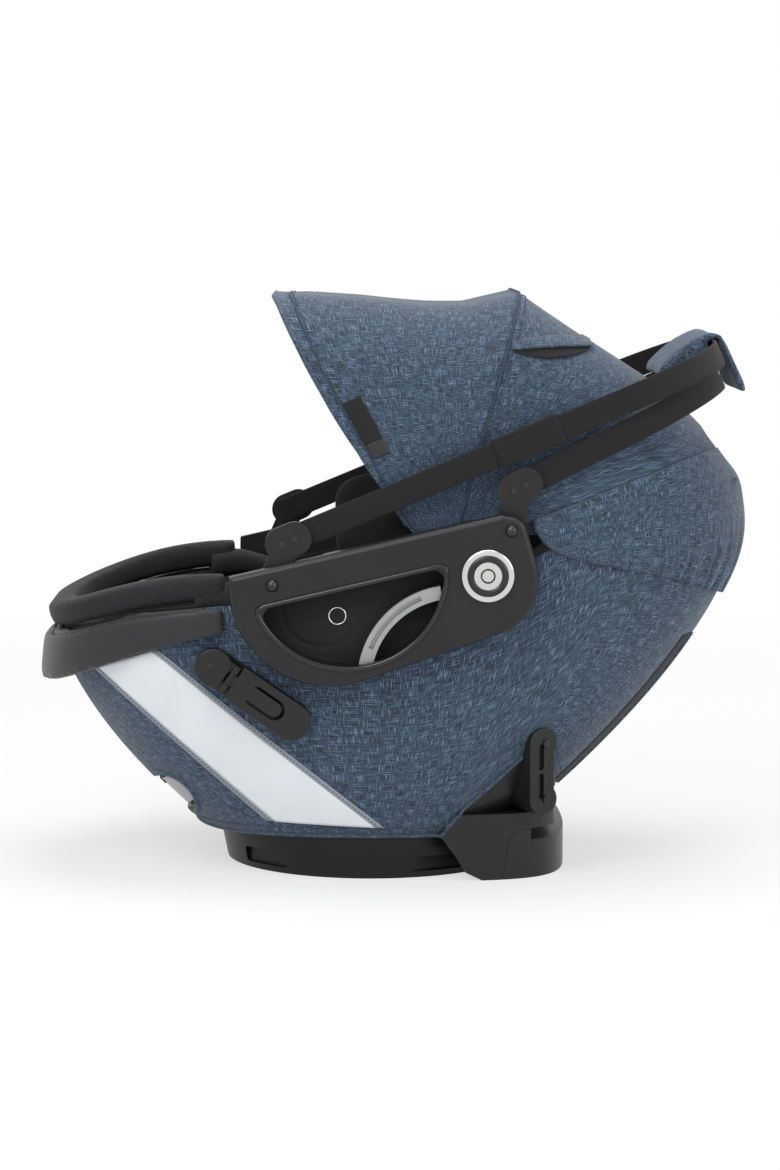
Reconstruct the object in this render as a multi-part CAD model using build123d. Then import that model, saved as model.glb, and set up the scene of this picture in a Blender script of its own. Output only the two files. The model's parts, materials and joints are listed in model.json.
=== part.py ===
"""Infant car seat: a carrier shell with a fold-back canopy, a two-strap carry handle and a docking ring.

Sizes are in millimetres. X runs to the head end, Y across and Z up. The left side is -Y.
"""
from build123d import *
import math
import os

# Clearances
SKIN_GAP = 0.3          # between layers that lie on each other
MOVE_GAP = 0.5          # between pieces that move past each other
PIN_GAP = 0.05          # radial, between a pin and its hole

# Shell, as a tub whose level outlines grow with height
KEEL_Z = 42.0           # underside of the shell
FULL_Z = 320.0          # height at which the tub reaches its full width
HEAD_Z = 380.0          # top of the head end
KEEL_FRONT = -192.0
KEEL_BACK = 122.0
HEAD_BACK = 343.0
KEEL_HALF_WIDTH = 153.0
SEAT_HALF_WIDTH = 190.0
FOOT_LEAN = 1.17        # run of the foot wall for each millimetre of rise, at the keel
FOOT_CURVE = 0.00224    # how fast the foot wall steepens with height
BACK_POWER = 1.5        # 1 would make the back wall straight in side view
WIDEST_X = -10.0
KEEL_BLUNTNESS = 0.72   # of the foot end; 0.55 would make an ellipse and 1 a rectangle
FOOT_BLUNTNESS = 0.85   # of the foot end at full width
HEAD_BLUNTNESS = 0.78
LEVELS = 5

# Layers of the tub, from outside in
COVER_THICK = 2.5
SHELL_THICK = 4.0
LINER_THICK = 16.0
LINER_DEEP = 26.0       # of the foam under the seat surface
PAD_THICK = 12.0
SHELL_INSET = COVER_THICK + SKIN_GAP
LINER_INSET = SHELL_INSET + SHELL_THICK + SKIN_GAP
PAD_INSET = LINER_INSET + LINER_THICK + SKIN_GAP
CAVITY_INSET = PAD_INSET + PAD_THICK
REACH = 700.0           # larger than the part, for cutting blocks

# Rim of the shell in side view, dipping below the side frames
RIM_FOOT_Z = 232.0
RIM_DIP_Z = 262.0
RIM_HEAD_Z = 372.0

# Seat surface in side view
SEAT_LOW_X = -20.0
SEAT_LOW_Z = 90.0

# Side frame
FRAME_OUT_Y = 212.0
NOSE_X, NOSE_Z, NOSE_R = -60.0, 291.0, 95.0
TAIL_X, TAIL_Z, TAIL_R = 81.0, 297.0, 55.0
EAR_R = 15.0
FRAME_SLOPE = 12.9
FRAME_TOP_Z = 335.0     # height of the top edge over X = 0
FRAME_EDGE_R = 6.0
GRAB_X, GRAB_Z, GRAB_R = -44.0, 307.0, 91.5
GRAB_CHORD = 18.8       # how far the opening's straight edge lies below its centre
GRAB_LIP = 5.0
LIP_HIGH = 1.5
GUIDE_X, GUIDE_Z, GUIDE_R = 58.0, 199.0, 86.0
GUIDE_WIDE = 13.0
GUIDE_SLOT = 4.5
GUIDE_OUT_Y = 203.0
GUIDE_DEEP = 10.0
HUB_X, HUB_Z, HUB_R = 88.0, 301.0, 25.0
HUB_HIGH = 5.0

# Carry handle
FRONT_PIVOT_X, FRONT_PIVOT_Z = -114.0, 292.0
REAR_PIVOT_X, REAR_PIVOT_Z = 110.0, 343.0
FRONT_PLATE_X, FRONT_PLATE_Z = -99.0, 332.0
REAR_PLATE_X, REAR_PLATE_Z = 119.0, 382.0
FRONT_TILT = 22.5
REAR_TILT = 26.7
STRAP_WIDE = 25.0
STRAP_THICK = 3.0
FRONT_STRAP_Y = 188.5
REAR_STRAP_Y = 182.0
LOOP_X = 318.0          # where both loops cross behind the canopy
LOOP_CORNER_R = 110.0
ARM_THICK = 6.0
ARM_FOOT_R = 14.0
PLATE_LONG, PLATE_HIGH = 45.0, 32.0
PIVOT_PIN_R = 4.0
PIVOT_DOME_R = 6.0
GRIP_HALF = 68.0
KEEPER_LONG = 66.0
KEEPER_AT = 212.0       # along the strap, from its plate
KEEPER_WALL = 1.6
HOOK_WIRE_R = 1.6

# Canopy
BOW_X, BOW_Z = 54.0, 318.0
VISOR_LEAN = -33.8      # from upright, negative towards the foot end
BOW_LEAN = 15.8
CANOPY_HALF = 174.0
CANOPY_PEAK_Z = 562.0
CANOPY_THICK = 2.5
CANOPY_BASE_Z = 300.0
CANOPY_HEM_Z = 336.0
BOW_THICK = 5.0
BOW_WIDE = 10.0
BOW_FOOT_R = 11.0
BOW_PIN_R = 4.0
SKIRT_THICK = 2.5
SKIRT_START_X = 142.0

# Base
RING_X = -19.0
RING_R = 150.0
RING_FOOT_R = 144.0
RING_WALL = 14.0
RING_WEB = 6.0
RING_HOLE_R = 45.0
RECESS_LONG, RECESS_HIGH, RECESS_DEEP = 58.0, 15.0, 4.0
LATCH_LONG, LATCH_WIDE, LATCH_HIGH = 26.0, 40.0, 12.0
LATCH_TRAVEL = 8.0
LATCH_RAIL = 5.0
HEEL_TOP_Z = 64.0       # where the heel's upright walls meet the shell's curve
HEEL_BACK = 172.0
HEEL_BLUNTNESS = 0.90
CAP_SEAM_Z = 48.0
HEEL_SKIN = 1.2
CAP_HIGH = 37.0

# Foot end
BUMPER_FRONT = -350.0
BUMPER_HALF = 197.0
BUMPER_Z = 180.0
ROLL_HIGH = 30.0
ROLL_DEEP = 32.0

# Release lever
LEVER_Z = 67.0          # height of the lever opening's middle on the foot wall
LEVER_HALF = 118.0
LEVER_HIGH = 48.0
LEVER_EDGE = 7.0        # gap between the lever and its housing's edge
LEVER_INSET = 5.0
LEVER_THICK = 7.0
HOUSING_WALL = 2.2
LEVER_PIN_R = 2.5
LEVER_LUG_HALF = 34.0
LEVER_RIB = 4.0
LEVER_PIVOT_UP = 13.0

# Belt clips and hooks
CLIP_X, CLIP_Z = -170.0, 212.0
CLIP_LONG = 90.0        # between the end centres
CLIP_DOWN = 35.1        # degrees below level
CLIP_R = 18.0
CLIP_THICK = 5.5
CLIP_FACE_Y = 192.0
CLIP_HINGE = 19.0
CLIP_KNUCKLE_R = 4.0
CLIP_PIN_R = 1.6
CLIP_PAD_R = 9.0
CLIP_BACKING = 1.5
BELT_HOOK_X, BELT_HOOK_Y, BELT_HOOK_Z = 138.0, -150.0, 107.0
BELT_HOOK_TURN = 28.0
BELT_HOOK_HIGH = 84.0
BELT_HOOK_WIDE = 30.0
BELT_HOOK_THICK = 14.0
BELT_HOOK_ROOT = 46.0   # how far the hook reaches back to the heel's skin

# Harness
HARNESS_Y = 44.0
HARNESS_WIDE = 25.0
HARNESS_THICK = 2.2
HARNESS_TOP_X = 185.0
BUCKLE_LONG, BUCKLE_WIDE, BUCKLE_HIGH = 58.0, 46.0, 20.0
BUCKLE_X = -22.0
BUTTON_LONG, BUTTON_WIDE = 24.0, 20.0
BUTTON_DEEP = 8.0
BUTTON_PROUD = 1.0
BUTTON_TRAVEL = 4.0
TONGUE_THICK = 2.0
CHEST_X = 82.0
CHEST_LONG = 30.0
CHEST_THICK = 8.0
SHOULDER_LONG = 66.0
SHOULDER_THICK = 8.0
ADJUST_X = -150.0
ADJUST_LONG, ADJUST_WIDE, ADJUST_HIGH = 38.0, 34.0, 12.0
HEADREST_X = 215.0

SCREW_R = 3.0
SCREW_HIGH = 1.5


def prism(outline, y_low, y_high):
    """Extrudes an outline drawn in side view, X across and Z up, from y_low to y_high."""
    return extrude(Plane.XZ.offset(-y_high) * outline, amount=y_high - y_low)


def across(outline):
    """Extrudes a side-view outline through the whole width."""
    return prism(outline, -REACH, REACH)


def rod(x, z, radius, y_low, y_high):
    """A round bar across the seat."""
    return prism(Pos(x, z) * Circle(radius), y_low, y_high)


def both(part):
    """A piece and its mirror image, as one node."""
    return Compound(children=[Part(part.wrapped), Part(mirror(part, about=Plane.XZ).wrapped)])


def block(x_low, x_high, y_low, y_high, z_low, z_high):
    """A box between two corners."""
    size = (x_high - x_low, y_high - y_low, z_high - z_low)
    middle = ((x_low + x_high) / 2, (y_low + y_high) / 2, (z_low + z_high) / 2)
    return Pos(*middle) * Box(*size)


def fall(z):
    """How far a level lies below full width: 1 at the keel, 0 at the full width and above."""
    return max(0.0, (FULL_Z - z) / (FULL_Z - KEEL_Z))


def front_x(z):
    rise = z - KEEL_Z
    return KEEL_FRONT - FOOT_LEAN * rise + FOOT_CURVE * rise ** 2


def foot_lean(z):
    """Run of the foot wall for each millimetre of rise at a height."""
    return FOOT_LEAN - 2 * FOOT_CURVE * (z - KEEL_Z)


def back_x(z):
    return HEAD_BACK - (HEAD_BACK - KEEL_BACK) * fall(z) ** BACK_POWER


def half_width(z):
    return SEAT_HALF_WIDTH - (SEAT_HALF_WIDTH - KEEL_HALF_WIDTH) * fall(z) ** 2


def quarter(end_x, half, bluntness):
    """One quarter of a level outline, from the middle of an end round to the widest point."""
    reach = (end_x - WIDEST_X) * bluntness
    return Bezier((end_x, 0), (end_x, half * bluntness), (WIDEST_X + reach, half), (WIDEST_X, half))


def plan(front, back, half, z, head=HEAD_BLUNTNESS):
    """A level outline: blunt ends of different bluntness meeting at the widest point."""
    foot = FOOT_BLUNTNESS - (FOOT_BLUNTNESS - KEEL_BLUNTNESS) * min(1, fall(z))
    right = quarter(back, half, head) + quarter(front, half, foot)
    left = quarter(back, -half, head) + quarter(front, -half, foot)
    return Plane.XY.offset(z) * make_face(right + left)


TUBS = {}


def tub(inset):
    """The solid inside the tub's outline, drawn in by an inset."""
    if inset not in TUBS:
        step = (HEAD_Z - KEEL_Z) / (LEVELS - 1)
        heights = [KEEL_Z + step * i for i in range(LEVELS)]
        outlines = []
        for z in heights:
            outlines.append(plan(front_x(z) + inset, back_x(z) - inset, half_width(z) - inset, z))
        TUBS[inset] = loft(outlines)
    return TUBS[inset]


def over_curve(points, lift):
    """The block above a smooth side-view curve."""
    raised = [(x, z + lift) for x, z in points]
    first, last = raised[0], raised[-1]
    edge = Spline(*raised)
    closing = Polyline(last, (last[0], REACH + 200), (first[0], REACH + 200), first)
    return across(make_face(edge + closing))


RIM_POINTS = [
    (-480, RIM_FOOT_Z - 44),
    (BUMPER_FRONT + 18, RIM_FOOT_Z),
    (-240, RIM_FOOT_Z + 30),
    (-155, RIM_DIP_Z + 9),
    (-60, RIM_DIP_Z),
    (20, RIM_DIP_Z),
    (80, RIM_DIP_Z + 22),
    (150, RIM_HEAD_Z - 47),
    (250, RIM_HEAD_Z - 14),
    (420, RIM_HEAD_Z + 8),
]

SEAT_POINTS = [
    (-480, SEAT_LOW_Z + 222),
    (-300, SEAT_LOW_Z + 108),
    (-200, SEAT_LOW_Z + 54),
    (-100, SEAT_LOW_Z + 14),
    (SEAT_LOW_X, SEAT_LOW_Z),
    (60, SEAT_LOW_Z + 18),
    (150, SEAT_LOW_Z + 78),
    (240, SEAT_LOW_Z + 162),
    (330, SEAT_LOW_Z + 270),
    (420, SEAT_LOW_Z + 390),
]


def over_rim(lift):
    return over_curve(RIM_POINTS, lift)


def over_seat(lift):
    return over_curve(SEAT_POINTS, lift)


def over_level(z):
    return block(-REACH, REACH, -REACH, REACH, z, 2 * REACH)


def cavity(inset, lift):
    """The space for the child: inside the tub and above the seat surface."""
    return tub(inset) & over_seat(lift)


SEAT_FACE = PAD_THICK + SKIN_GAP    # how far the pad's face lies above the liner's


def on_seat(x_low, x_high, y_low, y_high, low, high):
    """A strip that follows the pad's face, between two heights over it."""
    strip = over_seat(SEAT_FACE + low) - over_seat(SEAT_FACE + high)
    return strip & block(x_low, x_high, y_low, y_high, 0, REACH)


def foot_wall_plane():
    """A plane on the foot wall: its x runs to the left side, its y up the slope and its z outwards."""
    lean = foot_lean(LEVER_Z)
    slope = math.hypot(lean, 1)
    out = (-1 / slope, 0, -lean / slope)
    return Plane(origin=(front_x(LEVER_Z), 0, LEVER_Z), x_dir=(0, -1, 0), z_dir=out)


def lever_window(edge):
    """A block through the foot wall in the lever opening's outline, drawn in by an edge."""
    high = LEVER_HIGH - 2 * edge
    outline = SlotOverall(2 * (LEVER_HALF - edge), high)
    return foot_wall_plane() * (Pos(0, 0, -45) * extrude(outline, amount=75))


def heel_side(grow):
    """The side-view outline of the black heel, where the fabric cover is cut away."""
    outline = Polyline(
        (44 - grow, 46), (126, 120 + grow), (150, 120 + grow), (156 + grow, 86), (158 + grow, CAP_SEAM_Z),
        (240, CAP_SEAM_Z), (240, -1), (88, -1), (70, 8), (60 - grow, 24), close=True,
    )
    return across(make_face(outline))


def seat_shell():
    body = tub(SHELL_INSET) - (tub(SHELL_INSET + SHELL_THICK) & over_level(KEEL_Z + SHELL_THICK + 1))
    return body - over_rim(0) - lever_window(0)


def shell_cover():
    body = tub(0) - tub(COVER_THICK) - over_rim(-1)
    return body - lever_window(0) - heel_side(SKIN_GAP)


def foam_liner():
    floor = KEEL_Z + SHELL_THICK + 1 + SKIN_GAP
    body = cavity(LINER_INSET, -LINER_DEEP) & over_level(floor)
    body -= cavity(LINER_INSET + LINER_THICK, 0)
    return body - over_rim(-3) - lever_window(0)


def seat_pad():
    body = cavity(PAD_INSET, SKIN_GAP) - cavity(CAVITY_INSET, SEAT_FACE)
    return body - over_rim(-1)


def bumper_end():
    """X where the foot-end trim stops, short of the side frame."""
    return NOSE_X - NOSE_R - 2


def foot_bumper():
    """The soft grey band around the foot end, hanging out over the foot wall."""
    low = plan(BUMPER_FRONT, 200, BUMPER_HALF, BUMPER_Z - 20)
    high = plan(BUMPER_FRONT + 12, 200, BUMPER_HALF + 1, BUMPER_Z + 110)
    lower_edge = [
        (BUMPER_FRONT - 25, BUMPER_Z - 11),
        (BUMPER_FRONT + 13, BUMPER_Z + 3),
        (BUMPER_FRONT + 64, BUMPER_Z + 23),
        (BUMPER_FRONT + 116, BUMPER_Z + 41),
        (BUMPER_FRONT + 230, BUMPER_Z + 68),
    ]
    band = loft([low, high]) & over_curve(lower_edge, 0)
    band = band - over_rim(0) - tub(-SKIN_GAP)
    return band & block(-REACH, bumper_end(), -REACH, REACH, 0, REACH)


def rim_roll():
    """The padded roll along the foot end's rim."""
    ring = tub(-3) - tub(ROLL_DEEP)
    ring = (ring & over_rim(SKIN_GAP)) - over_rim(ROLL_HIGH)
    return ring & block(-REACH, bumper_end(), -REACH, REACH, 0, REACH)


def head_support():
    """A cushion on the seat back with a bolster each side of the head."""
    low, high = HEADREST_X - 55, HEADREST_X + 45
    cushion = on_seat(low + 25, high, -84, 84, SKIN_GAP, 13)
    wing = on_seat(low, high, -118, -84, SKIN_GAP, 52)
    return (cushion + wing + mirror(wing, about=Plane.XZ)) & tub(CAVITY_INSET + SKIN_GAP)


def frame_outline():
    nose = Pos(NOSE_X, NOSE_Z) * Circle(NOSE_R)
    tail = Pos(TAIL_X, TAIL_Z) * Circle(TAIL_R)
    ear = Pos(REAR_PIVOT_X, REAR_PIVOT_Z - 2) * Circle(EAR_R)
    hull = make_hull(nose.edges() + tail.edges() + ear.edges())
    above = Pos(0, FRAME_TOP_Z) * Rot(0, 0, FRAME_SLOPE) * Pos(0, REACH / 2) * Rectangle(3 * REACH, REACH)
    return hull - above


def grab_outline(grow):
    """The crescent opening of a side frame: a circle below a straight edge."""
    round_part = Circle(GRAB_R + grow)
    above = Pos(0, REACH / 2 - GRAB_CHORD + grow) * Rectangle(2 * REACH, REACH)
    outline = fillet((round_part - above).vertices(), 9 + grow)
    return Pos(GRAB_X, GRAB_Z) * Rot(0, 0, FRAME_SLOPE) * outline


def guide_band(wide, low, high):
    """Part of a ring about the lap belt guide's centre, between two angles."""
    ring = Circle(GUIDE_R + wide / 2) - Circle(GUIDE_R - wide / 2)
    corner = 3 * GUIDE_R
    wedge = Polyline(
        (0, 0),
        (corner * math.cos(math.radians(low)), corner * math.sin(math.radians(low))),
        (corner * math.cos(math.radians(high)), corner * math.sin(math.radians(high))),
        close=True,
    )
    return Pos(GUIDE_X, GUIDE_Z) * (ring & make_face(wedge))


def belt_guide_left():
    inner = -(GUIDE_OUT_Y - GUIDE_DEEP)
    band = prism(guide_band(GUIDE_WIDE, 99, 171), -GUIDE_OUT_Y, inner)
    groove = prism(guide_band(GUIDE_SLOT, 112, 158), -REACH, -GUIDE_OUT_Y + GUIDE_DEEP / 2)
    return band - groove


FRAME_IN_Y = SEAT_HALF_WIDTH + SKIN_GAP
ARM_OUT_Y = FRONT_STRAP_Y + STRAP_THICK / 2 + SKIN_GAP + ARM_THICK
POCKET_Y = ARM_OUT_Y + 2.5
REAR_ARM_IN_Y = REAR_STRAP_Y + STRAP_THICK / 2 + SKIN_GAP
REAR_ARM_OUT_Y = REAR_ARM_IN_Y + ARM_THICK
FRONT_FOOT_Y = CANOPY_HALF - CANOPY_THICK - MOVE_GAP
MID_FOOT_Y = FRONT_FOOT_Y - BOW_THICK - MOVE_GAP


def side_frame_left():
    outline = frame_outline()
    body = prism(outline, -FRAME_OUT_Y, -160)
    outer = body.edges().filter_by(lambda e: abs(e.center().Y + FRAME_OUT_Y) < 0.01)
    body = fillet(outer, FRAME_EDGE_R)
    body -= tub(-SKIN_GAP)
    lip = grab_outline(GRAB_LIP) - grab_outline(0)
    body += prism(lip, -FRAME_OUT_Y - LIP_HIGH, -FRAME_OUT_Y + 1)
    body -= prism(grab_outline(0), -REACH, 0)
    front_pocket = block(-REACH, FRONT_PIVOT_X + 48, -POCKET_Y, 0, FRONT_PIVOT_Z - 22, REACH)
    rear_pocket = block(REAR_PIVOT_X - 34, REACH, -POCKET_Y, 0, REAR_PIVOT_Z - 22, REACH)
    body = body - front_pocket - rear_pocket
    body -= prism(guide_band(GUIDE_WIDE + 2 * SKIN_GAP, 98, 172), -GUIDE_OUT_Y - SKIN_GAP, 0)
    body += rod(BOW_X, BOW_Z, BOW_FOOT_R, -FRAME_IN_Y - 4, -FRONT_FOOT_Y - MOVE_GAP)
    for x, z in ((FRONT_PIVOT_X, FRONT_PIVOT_Z), (REAR_PIVOT_X, REAR_PIVOT_Z)):
        body -= rod(x, z, PIVOT_PIN_R + PIN_GAP, -REACH, 0)
    return body - rod(BOW_X, BOW_Z, BOW_PIN_R + PIN_GAP, -FRAME_IN_Y - 8, 0)


def hub_cap_left():
    """The round chrome boss on a side frame, stepped in three rings."""
    face = -FRAME_OUT_Y - SKIN_GAP
    cap = rod(HUB_X, HUB_Z, HUB_R, face - HUB_HIGH, face)
    rim = cap.edges().filter_by(lambda e: abs(e.center().Y - face + HUB_HIGH) < 0.01)
    cap = fillet(rim, HUB_HIGH / 2)
    groove = rod(HUB_X, HUB_Z, HUB_R * 0.74, -REACH, face - HUB_HIGH + 1.4)
    groove -= rod(HUB_X, HUB_Z, HUB_R * 0.62, -REACH, 0)
    dish = rod(HUB_X, HUB_Z, HUB_R * 0.44, -REACH, face - HUB_HIGH + 0.9)
    return cap - groove - dish


def arm(pivot, plate, tilt, y_in):
    """A strap arm: a round foot on the pivot, a neck and the oval plate that holds the strap."""
    out = -y_in - ARM_THICK
    foot = Pos(*pivot) * Circle(ARM_FOOT_R)
    oval = Pos(*plate) * Rot(0, 0, tilt) * SlotOverall(PLATE_LONG, PLATE_HIGH)
    neck_end = Pos(*plate) * Circle(ARM_FOOT_R * 0.8)
    neck = make_hull(foot.edges() + neck_end.edges())
    body = prism(neck + oval, out, -y_in)
    body -= rod(pivot[0], pivot[1], PIVOT_PIN_R + PIN_GAP, -REACH, 0)
    for side in (-1, 1):
        x, z = screw_spot(plate, tilt, side)
        body -= rod(x, z, SCREW_R * 0.6, -REACH, 0)
    return body


def screw_spot(plate, tilt, side):
    """Where one of a plate's two screws sits, in side view."""
    along = math.radians(tilt)
    return plate[0] + side * 6.5 * math.cos(along), plate[1] + side * 6.5 * math.sin(along)


FRONT_PIVOT = (FRONT_PIVOT_X, FRONT_PIVOT_Z)
REAR_PIVOT = (REAR_PIVOT_X, REAR_PIVOT_Z)
FRONT_PLATE = (FRONT_PLATE_X, FRONT_PLATE_Z)
REAR_PLATE = (REAR_PLATE_X, REAR_PLATE_Z)


def front_arm_left():
    return arm(FRONT_PIVOT, FRONT_PLATE, FRONT_TILT, FRONT_STRAP_Y + STRAP_THICK / 2 + SKIN_GAP)


def rear_arm_left():
    return arm(REAR_PIVOT, REAR_PLATE, REAR_TILT, REAR_ARM_IN_Y)


def arm_screws(plate, tilt, y_out, y_in):
    """The two screws of one plate, through the plate and the strap's end."""
    parts = []
    for side in (-1, 1):
        x, z = screw_spot(plate, tilt, side)
        shank = rod(x, z, SCREW_R * 0.6 - PIN_GAP, -y_out - 0.5, -y_in)
        parts.append(shank + rod(x, z, SCREW_R, -y_out - SKIN_GAP - SCREW_HIGH, -y_out - SKIN_GAP))
    pair = Compound(children=[Part(p.wrapped) for p in parts])
    far = Compound(children=[Part(mirror(p, about=Plane.XZ).wrapped) for p in parts])
    return Compound(children=[pair, far])


def front_arm_screws():
    return arm_screws(FRONT_PLATE, FRONT_TILT, ARM_OUT_Y, FRONT_STRAP_Y - STRAP_THICK / 2)


def rear_arm_screws():
    return arm_screws(REAR_PLATE, REAR_TILT, REAR_ARM_OUT_Y, REAR_STRAP_Y - STRAP_THICK / 2)


def loop_plane(plate, tilt):
    """The sloping plane that a strap loop lies in: its x runs along the strap, its y across the seat."""
    turn = math.radians(tilt)
    along = (math.cos(turn), 0, math.sin(turn))
    up = (-math.sin(turn), 0, math.cos(turn))
    return Plane(origin=(plate[0], 0, plate[1]), x_dir=along, z_dir=up)


def loop_length(plate, tilt):
    """Distance along the strap from the plate's centre to the crossing behind the canopy."""
    return (LOOP_X - plate[0]) / math.cos(math.radians(tilt))


def strap_loop(plate, tilt, y_mid):
    """A flat webbing loop: two legs, round corners and a crossing, of one thickness."""
    length = loop_length(plate, tilt)
    start = -PLATE_LONG * 0.35

    def filled(y_half, x_end, corner):
        shape = Pos((start + x_end) / 2, 0) * Rectangle(x_end - start, 2 * y_half)
        ends = shape.vertices().group_by(Axis.X)[-1]
        return fillet(ends, corner)

    outer = filled(y_mid + STRAP_THICK / 2, length + STRAP_THICK / 2, LOOP_CORNER_R)
    inner = filled(y_mid - STRAP_THICK / 2, length - STRAP_THICK / 2, LOOP_CORNER_R - STRAP_THICK)
    band = extrude(outer - inner, amount=STRAP_WIDE / 2, both=True)
    band = loop_plane(plate, tilt) * band
    for side in (-1, 1):
        x, z = screw_spot(plate, tilt, side)
        band -= rod(x, z, SCREW_R * 0.6, -REACH, REACH)
    return band


def front_strap():
    return strap_loop(FRONT_PLATE, FRONT_TILT, FRONT_STRAP_Y)


def rear_strap():
    return strap_loop(REAR_PLATE, REAR_TILT, REAR_STRAP_Y)


def strap_keepers():
    """An elastic sleeve on each leg of the front strap."""
    inside = STRAP_THICK / 2 + 0.2
    wide = STRAP_WIDE / 2 + 0.4
    middle = KEEPER_AT + KEEPER_LONG / 2
    sleeve = Box(KEEPER_LONG, 2 * (inside + KEEPER_WALL), 2 * (wide + KEEPER_WALL))
    sleeve -= Box(2 * KEEPER_LONG, 2 * inside, 2 * wide)
    near = loop_plane(FRONT_PLATE, FRONT_TILT) * (Pos(middle, -FRONT_STRAP_Y, 0) * sleeve)
    return both(near)


def grip_frame():
    """Side-view plane of the grip: x along the front strap, y square to it, with the crossing at x = 0."""
    turn = math.radians(FRONT_TILT)
    length = loop_length(FRONT_PLATE, FRONT_TILT)
    x = FRONT_PLATE_X + length * math.cos(turn)
    z = FRONT_PLATE_Z + length * math.sin(turn)
    return Pos(x, z) * Rot(0, 0, FRONT_TILT)


def grip_wrap():
    """The padded wrap over both straps: a hood open below, with a wide flap towards the canopy."""
    half = STRAP_WIDE / 2
    side = STRAP_THICK / 2 + 4.5
    skirt = -half - STRAP_WIDE - 10
    outline = Polyline(
        (-65, -half + 10), (-59, half - 5), (-26, half + 7), (1, half + 9), (10, half + 2),
        (side + 7, skirt), (side, skirt), (side, half + SKIN_GAP), (-side, half + SKIN_GAP),
        (-side, -half + 4), (-31, -half + 6), close=True,
    )
    return prism(grip_frame() * make_face(outline), -GRIP_HALF, GRIP_HALF)


def grip_hook():
    """A bent wire loop under the wrap's flap at its left end."""
    half = STRAP_WIDE / 2
    corners = [(-27, -half + 5.2), (-27, -half - 1), (-16, -half - 16), (-16, -half + 4.4)]
    y = -GRIP_HALF + 10
    wire = None
    for start, end in zip(corners, corners[1:]):
        first = (grip_frame() * Pos(*start)).position
        last = (grip_frame() * Pos(*end)).position
        a, b = Vector(first.X, y, first.Y), Vector(last.X, y, last.Y)
        plane = Plane(origin=a, z_dir=b - a)
        piece = plane * extrude(Circle(HOOK_WIRE_R), amount=(b - a).length)
        piece += Pos(*b) * Sphere(HOOK_WIRE_R) if end != corners[-1] else piece
        wire = piece if wire is None else wire + piece
    return wire


def handle_pin(x, z, y_in):
    """A domed pivot pin through a side frame and a strap arm, with a washer head inside."""
    face = -FRAME_OUT_Y - SKIN_GAP
    pin = rod(x, z, PIVOT_PIN_R, face - 1, -y_in + 2)
    dome = Pos(x, face, z) * Sphere(PIVOT_DOME_R)
    dome &= block(-REACH, REACH, -REACH, face, 0, REACH)
    washer = rod(x, z, PIVOT_DOME_R, -y_in + SKIN_GAP, -y_in + 2)
    return pin + dome + washer


def handle_pins():
    front = handle_pin(FRONT_PIVOT_X, FRONT_PIVOT_Z, FRONT_STRAP_Y + STRAP_THICK / 2 + SKIN_GAP)
    rear = handle_pin(REAR_PIVOT_X, REAR_PIVOT_Z, REAR_ARM_IN_Y)
    return Compound(children=[both(front), both(rear)])


def canopy_section(x, top, half, corner, inset):
    """An upright arch across the seat: straight sides and round shoulders."""
    high = top - inset - CANOPY_BASE_Z
    frame = Plane(origin=(x, 0, CANOPY_BASE_Z), x_dir=(0, 1, 0), z_dir=(1, 0, 0))
    arch = Pos(0, high / 2) * Rectangle(2 * (half - inset), high)
    arch = fillet(arch.vertices().group_by(Axis.Y)[-1], corner - inset)
    return frame * arch


HOODS = {}


def hood(inset):
    """The solid under the canopy, drawn in by an inset."""
    if inset not in HOODS:
        peak, half = CANOPY_PEAK_Z, CANOPY_HALF
        sections = [
            canopy_section(-150, peak - 4, half - 5, 88, inset),
            canopy_section(35, peak - 9, half, 92, inset),
            canopy_section(123, peak, half, 92, inset),
            canopy_section(206, peak - 53, half - 3, 90, inset),
            canopy_section(262, peak - 92, half - 12, 84, inset),
            canopy_section(300, peak - 128, half - 34, 66, inset),
            canopy_section(338, peak - 182, half - 86, 46, inset),
        ]
        HOODS[inset] = loft(sections, ruled=True)
    return HOODS[inset]


def beyond(lean, shift):
    """The half space on the head side of a plane through the bow pivot, leaning from upright."""
    half = Pos(shift + REACH, 0, 0) * Box(2 * REACH, 4 * REACH, 4 * REACH)
    return Pos(BOW_X, 0, BOW_Z) * Rot(0, lean, 0) * half


def canopy_visor():
    cloth = hood(0) - hood(CANOPY_THICK)
    cloth = (cloth & beyond(VISOR_LEAN, 0)) - beyond(BOW_LEAN, -SKIN_GAP)
    return cloth & over_level(CANOPY_HEM_Z)


def canopy_top():
    cloth = hood(0) - hood(CANOPY_THICK)
    cloth = (cloth & beyond(BOW_LEAN, 0)) & over_rim(2.5)
    return cloth & over_level(CANOPY_HEM_Z)


def bow(lean, inset, foot_y):
    """A bow that follows the inside of the canopy in a plane through its pivot, with round feet."""
    arch = hood(inset) - hood(inset + BOW_THICK)
    arch = (arch & beyond(lean, 0)) - beyond(lean, BOW_WIDE)
    arch &= over_level(BOW_Z)
    foot = rod(BOW_X, BOW_Z, BOW_FOOT_R, -foot_y, -foot_y + BOW_THICK)
    for piece in (foot, mirror(foot, about=Plane.XZ)):
        arch += piece
    return arch - rod(BOW_X, BOW_Z, BOW_PIN_R + PIN_GAP, -REACH, REACH)


def canopy_bow_front():
    return bow(VISOR_LEAN, CANOPY_HALF - FRONT_FOOT_Y, FRONT_FOOT_Y)


def canopy_bow_mid():
    return bow(BOW_LEAN, CANOPY_HALF - MID_FOOT_Y, MID_FOOT_Y)


def canopy_pins():
    inner = -MID_FOOT_Y + BOW_THICK
    pin = rod(BOW_X, BOW_Z, BOW_PIN_R, -FRAME_IN_Y - 7, inner + 2.5)
    pin += rod(BOW_X, BOW_Z, BOW_PIN_R + 3, inner + SKIN_GAP, inner + 2.5)
    return both(pin)


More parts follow.
